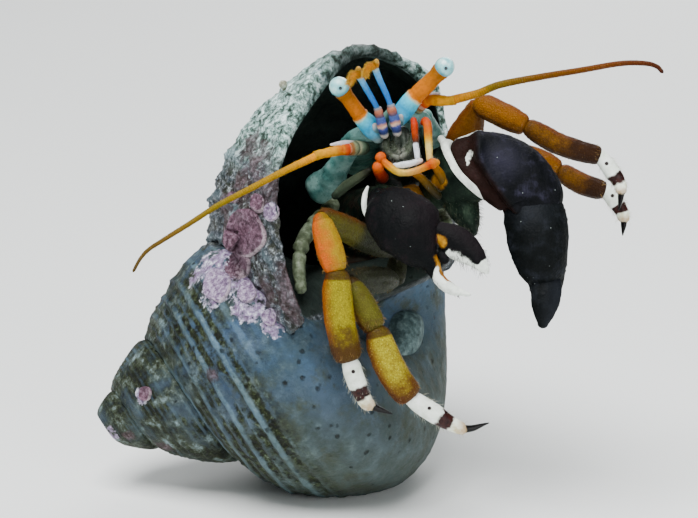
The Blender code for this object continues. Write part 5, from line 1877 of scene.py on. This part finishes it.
# %% maxillipeds
red_yellow = banded(
    "maxilliped", (0, 0.5, 0.13, 0.0036), (0.1, 0.58, 0.2, 0.0045), (0.24, 0.66, 0.4, 0.015),
    (0.45, 0.7, 0.5, 0.13), (0.7, 0.66, 0.36, 0.1), (0.88, 0.58, 0.24, 0.009), (1, 0.54, 0.1, 0.0045))
white_strip = banded(
    "maxilliped edge", (0, 0.46, 0.52, 0.58), (0.2, 0.74, 0.78, 0.8), (0.8, 0.76, 0.78, 0.8),
    (1, 0.62, 0.5, 0.44))
red_white = banded(
    "upright edge", (0, 0.5, 0.045, 0.0045), (0.3, 0.46, 0.075, 0.0036), (0.48, 0.2, 0.05, 0.02),
    (0.56, 0.1, 0.05, 0.03), (0.62, 0.66, 0.72, 0.78), (1, 0.72, 0.76, 0.8))
red_cream = banded(
    "upright arm", (0, 0.5, 0.045, 0.0045), (0.18, 0.54, 0.09, 0.0036), (0.42, 0.58, 0.2, 0.0045),
    (0.54, 0.6, 0.34, 0.012), (0.68, 0.72, 0.6, 0.22), (1, 0.66, 0.44, 0.14))
red_knob = banded(
    "knob", (0, 0.18, 0.04, 0.02), (0.5, 0.46, 0.05, 0.0045), (0.8, 0.56, 0.075, 0.0054),
    (1, 0.6, 0.14, 0.009))
orange_knob = banded("outer joint", (0, 0.46, 0.1, 0.009), (0.5, 0.58, 0.15, 0.0045), (1, 0.6, 0.26, 0.009))
olive_arm = banded(
    "olive arm", (0, 0.4, 0.17, 0.004), (0.3, 0.22, 0.125, 0.006), (0.6, 0.085, 0.06, 0.008),
    (1, 0.03, 0.028, 0.01))
olive_band = banded(
    "olive band", (0, 0.025, 0.028, 0.018), (0.2, 0.095, 0.115, 0.075), (0.8, 0.13, 0.17, 0.12),
    (1, 0.05, 0.075, 0.055))
MOUTH_ARMS = (
    ("maxilliped_R_knob", ((3.2, 7.8, 13.2, 0.6), (2.85, 8.3, 15.2, 0.5), (2.75, 8.7, 16.5, 0.58, 0.56)),
     red_knob, "maxilliped_R"),
    ("maxilliped_R_upper_knob", ((3.3, 9, 15, 0.35), (3.05, 9.5, 16, 0.45), (2.98, 9.62, 16.7, 0.52, 0.5)),
     red_knob, None),
    ("maxilliped_R_arm",
     ((3.35, 9.15, 16.9, 0.34), (3.75, 8.8, 17.2, 0.36, 0.34), (4.5, 8.22, 17.4, 0.33, 0.32),
      (5.5, 8.12, 17.4, 0.33, 0.32), (6.5, 8.38, 17.3, 0.33, 0.32), (7.45, 8.78, 17, 0.36, 0.34)),
     red_yellow, "maxilliped_palp_R"),
    ("maxilliped_R_edge",
     ((4, 8.78, 16.9, 0.22, 0.25), (4.7, 8.82, 17.1, 0.3, 0.28), (5.7, 8.98, 17.1, 0.3, 0.28),
      (6.75, 9.28, 16.8, 0.27, 0.26)),
     white_strip, None),
    ("maxilliped_R_joint", ((7.5, 8.85, 16.6, 0.4), (7.9, 9.02, 16.8, 0.5, 0.46), (8.25, 9.1, 16.7, 0.34)),
     orange_knob, None),
    ("maxilliped_L_edge",
     ((6.15, 13.15, 15.4, 0.3), (6.22, 12.6, 15.6, 0.34, 0.32), (6.28, 11.6, 15.6, 0.3),
      (6.35, 10.7, 15.8, 0.28), (6.5, 9.4, 16.3, 0.27)),
     red_white, "maxilliped_L"),
    ("maxilliped_L_arm",
     ((7.05, 12.95, 15.1, 0.3), (7.25, 13.1, 15.5, 0.38, 0.36), (7.45, 12.6, 15.9, 0.4, 0.38),
      (7.52, 11.4, 16, 0.38, 0.36), (7.58, 10.3, 16.1, 0.33, 0.32), (7.65, 9.35, 16.4, 0.33, 0.32)),
     red_cream, "maxilliped_palp_L"),
    ("mouth_arm_inner",
     ((6.1, 8.1, 16.2, 0.28), (6.8, 7.7, 15.9, 0.36, 0.34), (7.6, 6.9, 15.2, 0.4, 0.38),
      (8.5, 6, 14.2, 0.38, 0.36)),
     olive_arm, None),
    ("mouth_arm_outer",
     ((8.1, 8.8, 15.8, 0.34), (8.7, 8, 15, 0.44, 0.42), (9.3, 6.9, 14, 0.48, 0.46), (9.9, 5.7, 13, 0.4)),
     olive_arm, None),
    ("cheek_band",
     ((1.9, 8.4, 13.6, 0.34), (0.9, 7.8, 13.2, 0.44, 0.42), (-0.3, 7, 12.2, 0.48, 0.44),
      (-1.3, 6.1, 10.8, 0.4)),
     olive_band, None))
for name, stations, material, node in MOUTH_ARMS:
    limb = Limb(stations)
    grow_part(
        material, "mouthpart", node, name, limb, max(30, round(limb.length / MM * 14)), 28, (DOME, DOME),
        lambda run, turn, place: 0.035 * rough(place, 1.6) + 0.02 * sin(turn * 4) * bump(run, 0.5, 0.4))
print("mouth arms:", len(MOUTH_ARMS))

# %% inner mouthparts
INNER_ARMS = {
    "mandible_R": ((4, 11, 14.9, 0.35, 0.25), (4.3, 10.5, 15.2, 0.42, 0.28), (4.7, 10.1, 15.3, 0.28, 0.2)),
    "mandible_L": (
        (5.9, 11.2, 14.9, 0.35, 0.25), (5.6, 10.6, 15.2, 0.42, 0.28), (5.2, 10.2, 15.3, 0.28, 0.2)),
    "palp_inner_R": (
        (3.7, 11.6, 15, 0.28, 0.26), (3.5, 10.7, 15.5, 0.34, 0.28), (3.9, 9.9, 15.8, 0.28, 0.25),
        (4.6, 9.6, 15.8, 0.25)),
    "palp_inner_L": (
        (6, 12, 14.9, 0.28, 0.26), (5.9, 11.1, 15.4, 0.32, 0.28), (5.6, 10.2, 15.8, 0.28, 0.25),
        (5, 9.7, 15.9, 0.25))}
inner_shell = banded(
    "inner mouthpart", (0, 0.02, 0.028, 0.018), (0.4, 0.05, 0.065, 0.044), (0.75, 0.11, 0.13, 0.095),
    (1, 0.28, 0.29, 0.25))
inner_limbs = {}
for name, stations in INNER_ARMS.items():
    inner_limbs[name] = Limb(stations)
    grow_part(
        inner_shell, "mouthpart", None, name, inner_limbs[name], 36, 24, (DOME, DOME),
        lambda run, turn, place: 0.05 * rough(place, 1.8) + 0.03 * sin(run * 30) * facing(turn, 90, 60))
print("inner mouthparts:", len(inner_limbs))

# %% [markdown]
# ## Short hairs
#
# Crabs feel and taste with stiff bristles called setae. They stand in rows along the legs and the small claw,
# as a fur on the shaded parts, where their dark colour is painted shade, as a brush on the antennules and as pale
# fibres round the mouth. A hair system would need a curve for each, so here one small tapering bristle is made
# and copied to every root, where it is bent and turned. All the bristles of one colour form one coat.
#
# Each coat also has a map. How far round a limb a root stands goes across
# the map, and how far along goes up it. Every bristle gets a tiny patch there.

# %% one bristle
random.seed(14)
BRISTLE_SIDES = 3
BRISTLE_RINGS = ((0, 1), (0.35, 0.84), (0.7, 0.56), (1, 0.16))  # shares of the length and the radius
PATCH = 0.0015  # half the side of a bristle's patch on the map


def make_bristle():
    """The template: its corners only remember which side and which ring they belong to."""
    bm = bmesh.new()
    spoke, along, girth = (bm.verts.layers.float.new(name) for name in ("spoke", "along", "girth"))
    for (share, size), corners in grow_rings(bm, BRISTLE_SIDES, spoke, BRISTLE_RINGS):
        for corner in corners:
            turn = 2 * pi * corner[spoke] / BRISTLE_SIDES
            corner.co = Vector((cos(turn) * size, sin(turn) * size, share * 6)) * MM
            corner[along], corner[girth] = share, size
    close_ends(bm, pull=False)
    bmesh.ops.recalc_face_normals(bm, faces=bm.faces)
    mesh = bpy.data.meshes.new("bristle")
    bm.to_mesh(mesh)
    bm.free()
    return mesh


bristle = make_bristle()
print("one bristle:", len(bristle.polygons), "faces")


# %% roots along a limb
def roots_along(
    limb, count, turns, lengths, lean=0.35, spread=0.25, shares=(0.03, 0.97), radius=0.03, sheet=0, sag=0.2):
    """Roots at random places of a limb: within `turns` (middle, spread in degrees) and `shares` of its length."""
    roots = []
    for i in range(count):
        share = random.uniform(*shares)
        turn = radians(random.gauss(*turns))
        run = limb.frame(share)[1]
        stray = Vector((random.uniform(-1, 1), random.uniform(-1, 1), random.uniform(-1, 1)))
        way = (limb.outward(share, turn) * (1 - lean) + run * lean + stray * spread).normalized()
        droop = run * 0.25 - Vector((0, 0, 1)) * sag + stray * 0.15
        patch = (((turn / (2 * pi)) % 1 + sheet % 4) / 4 * 0.98 + 0.01, (share + sheet // 4) / 4 * 0.98 + 0.01)
        roots.append((
            limb.point(share, turn, -0.06), way, droop, random.uniform(*lengths),
            radius * random.uniform(0.8, 1.15), patch))
    return roots


def rooted(*rows):
    """The roots of several rows, each told as roots_along takes it."""
    return [root for row in rows for root in roots_along(*row)]


def grow_coat(name, roots, material, slot):
    """One mesh with a bristle at each root, and its map."""
    bm = bmesh.new()
    for root in roots:
        bm.from_mesh(bristle)
    bm.verts.ensure_lookup_table()
    spoke, along, girth = (bm.verts.layers.float[name] for name in ("spoke", "along", "girth"))
    patches = bm.loops.layers.uv.new("OFBake")
    each = len(bristle.vertices)
    spots = {}
    for number, (foot, way, droop, length, radius, patch) in enumerate(roots):
        side = way.orthogonal().normalized()
        other = way.cross(side)
        for corner in bm.verts[number * each:(number + 1) * each]:
            turn, share = 2 * pi * corner[spoke] / BRISTLE_SIDES, corner[along]
            axis = foot + (way * share + droop * share ** 2 * 0.5) * length * MM
            corner.co = axis + (side * cos(turn) + other * sin(turn)) * corner[girth] * radius * MM
            spots[corner.index] = (
                patch[0] + PATCH * cos(turn) * (1 - 0.5 * share), patch[1] + PATCH * (2 * share - 1))
    for face in bm.faces:
        for loop in face.loops:
            loop[patches].uv = spots[loop.vert.index]
    coat = finished(name, bm, mend=False)
    return wear(coat, material, slot)


def bristle_finish(name, root, tip):
    f = Finish(name, roughness=0.5, skin=0.1, skin_colour=(1, 0.8, 0.6))
    mottle = f.noise(1.6, 3)
    f.ground = f.blend(f.ramp(f.mark("along"), 0, 1), root, tip)
    f.lay(f.ramp(mottle, 0.35, 0.65, 0, 0.4), root)
    return f.done(f.spread(mottle, 0.42, 0.6), f.relief(f.noise(12, 2), 0.004))


ivory_bristles = bristle_finish("ivory bristles", (0.5, 0.48, 0.36), (0.86, 0.88, 0.78))
gold_bristles = bristle_finish("gold bristles", (0.26, 0.13, 0.02), (0.62, 0.44, 0.16))
orange_bristles = bristle_finish("orange bristles", (0.56, 0.2, 0), (0.6, 0.44, 0.05))
dark_bristles = bristle_finish("dark bristles", (0.014, 0.013, 0.012), (0.085, 0.075, 0.065))
olive_bristles = bristle_finish("olive bristles", (0.02, 0.024, 0.014), (0.15, 0.17, 0.11))
pale_bristles = bristle_finish("pale bristles", (0.07, 0.075, 0.06), (0.34, 0.37, 0.32))
print("bristle finishes: 6")

# %% legs
dactyl_roots, leg_roots = [], []
for number, leg in enumerate(LEGS):
    claw = leg_limbs[leg + "_dactyl"]
    for middle in (0, 180):
        dactyl_roots += roots_along(claw, 30, (middle, 16), (0.25, 0.7), 0.5, 0.25, (0.08, 0.7), 0.015, number)
    dactyl_roots += roots_along(claw, 30, (90, 50), (0.12, 0.26), 0.6, 0.3, (0.05, 0.68), 0.012, number)
    for place, kind in enumerate(("merus", "carpus", "propodus")):
        limb = leg_limbs[f"{leg}_{kind}"]
        for middle in (0, 180):
            leg_roots += roots_along(
                limb, 34, (middle, 18), (0.14, 0.32), 0.5, 0.3, (0.08, 0.95), 0.015, number + 4 * place)
        leg_roots += roots_along(
            limb, 46, (90, 60), (0.08, 0.18), 0.6, 0.3, (0.05, 0.95), 0.013, number + 4 * place)
        leg_roots += roots_along(
            limb, 30, (90, 110), (0.2, 0.45), 0.6, 0.3, (0.93, 1), 0.015, number + 4 * place)
grow_coat("dactyl_bristles", dactyl_roots, ivory_bristles, "dactyl")
grow_coat("leg_bristles", leg_roots, gold_bristles, "walking_leg")
print("bristles on the legs:", len(dactyl_roots), "and", len(leg_roots))

# %% claws and the shaded fur
small_finger, small_palm, large_arm = Limb(FINGER_R), Limb(PALM_R, square=0.97), Limb(MERUS_L)
claw_roots = rooted(
    (small_finger, 70, (190, 22), (0.2, 0.5), 0.5, 0.3, (0.1, 0.95), 0.018, 0),
    (small_finger, 60, (20, 30), (0.35, 0.85), 0.5, 0.35, (0.3, 0.98), 0.018, 0),
    (small_palm, 60, (186, 14), (0.2, 0.4), 0.5, 0.3, (0.1, 0.55), 0.024, 1),
    (small_palm, 50, (0, 18), (0.2, 0.45), 0.5, 0.3, (0.2, 0.95), 0.024, 1),
    (Limb(PALM_L, square=0.96), 70, (180, 16), (0.12, 0.26), 0.5, 0.3, (0.1, 0.9), 0.022, 2),
    (Limb(CARPUS_L, square=0.94), 50, (180, 24), (0.12, 0.26), 0.5, 0.3, (0.1, 0.9), 0.022, 3))
grow_coat("claw_bristles", claw_roots, dark_bristles, "cheliped_dark")
fur_roots = rooted(
    (leg_limbs["leg_R2_merus"], 420, (90, 75), (0.2, 0.5), 0.45, 0.5, (0, 1), 0.02, 0),
    (leg_limbs["leg_R1_merus"], 260, (90, 75), (0.2, 0.45), 0.45, 0.5, (0, 0.5), 0.02, 1),
    (large_arm, 160, (5, 30), (0.2, 0.5), 0.45, 0.5, (0.3, 0.95), 0.02, 2, 0.5),
    (large_arm, 120, (80, 50), (0.15, 0.35), 0.5, 0.4, (0.1, 0.9), 0.018, 2),
    (lobe, 380, (60, 110), (0.25, 0.65), 0.45, 0.5, (0.1, 1), 0.02, 4, 0.5),
    (Limb(MERUS_R), 200, (60, 80), (0.2, 0.5), 0.45, 0.5, (0, 0.9), 0.02, 3))
# The olive coat's dark colour is painted shade on the parts that lie under the body; the hairs themselves are real.
grow_coat("shaded_fur", fur_roots, olive_bristles, "cheliped_arm")
print("bristles on the claws:", len(claw_roots), "and in the shade:", len(fur_roots))

# %% feelers and mouth
brush_roots = []
for number, limb in enumerate(brush_limbs.values()):
    brush_roots += rooted(
        (limb, 420, (0, 60), (0.2, 0.48), 0.25, 0.25, (0.04, 1), 0.02, number),
        (limb, 200, (150, 70), (0.12, 0.3), 0.4, 0.3, (0.04, 1), 0.02, number))
grow_coat("antennule_bristles", brush_roots, orange_bristles, "antennule_flagellum")
whip_roots = rooted(*(
    (limb, 170, (0, 180), (0.12, 0.26), 0.55, 0.2, (0.02, 0.98), 0.016, number)
    for number, limb in enumerate(whip_limbs.values())))
grow_coat("whip_bristles", whip_roots, gold_bristles, "antenna")
mouth_roots = rooted(
    *((limb, 90, (90, 90), (0.2, 0.5), 0.45, 0.4, (0.05, 1), 0.016, number)
      for number, limb in enumerate(inner_limbs.values())),
    *((Limb(stations), 60, (180, 40), (0.15, 0.36), 0.4, 0.3, (0.1, 0.95), 0.015, 4 + number)
      for number, (name, stations, material, node) in enumerate(MOUTH_ARMS[2:8])))
grow_coat("mouth_bristles", mouth_roots, pale_bristles, "mouthpart")
print("bristles on the feelers:", len(brush_roots) + len(whip_roots), "round the mouth:", len(mouth_roots))

# %% [markdown]
# ## Closing the model
#
# The last cell prints the box of the finished pieces in millimetres, as the first cell printed the box of
# the plain solids.

# %% sizes
visual_box = [list(corner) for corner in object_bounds()]
print("finished pieces' box in mm:", [[round(x / MM, 1) for x in corner] for corner in visual_box])
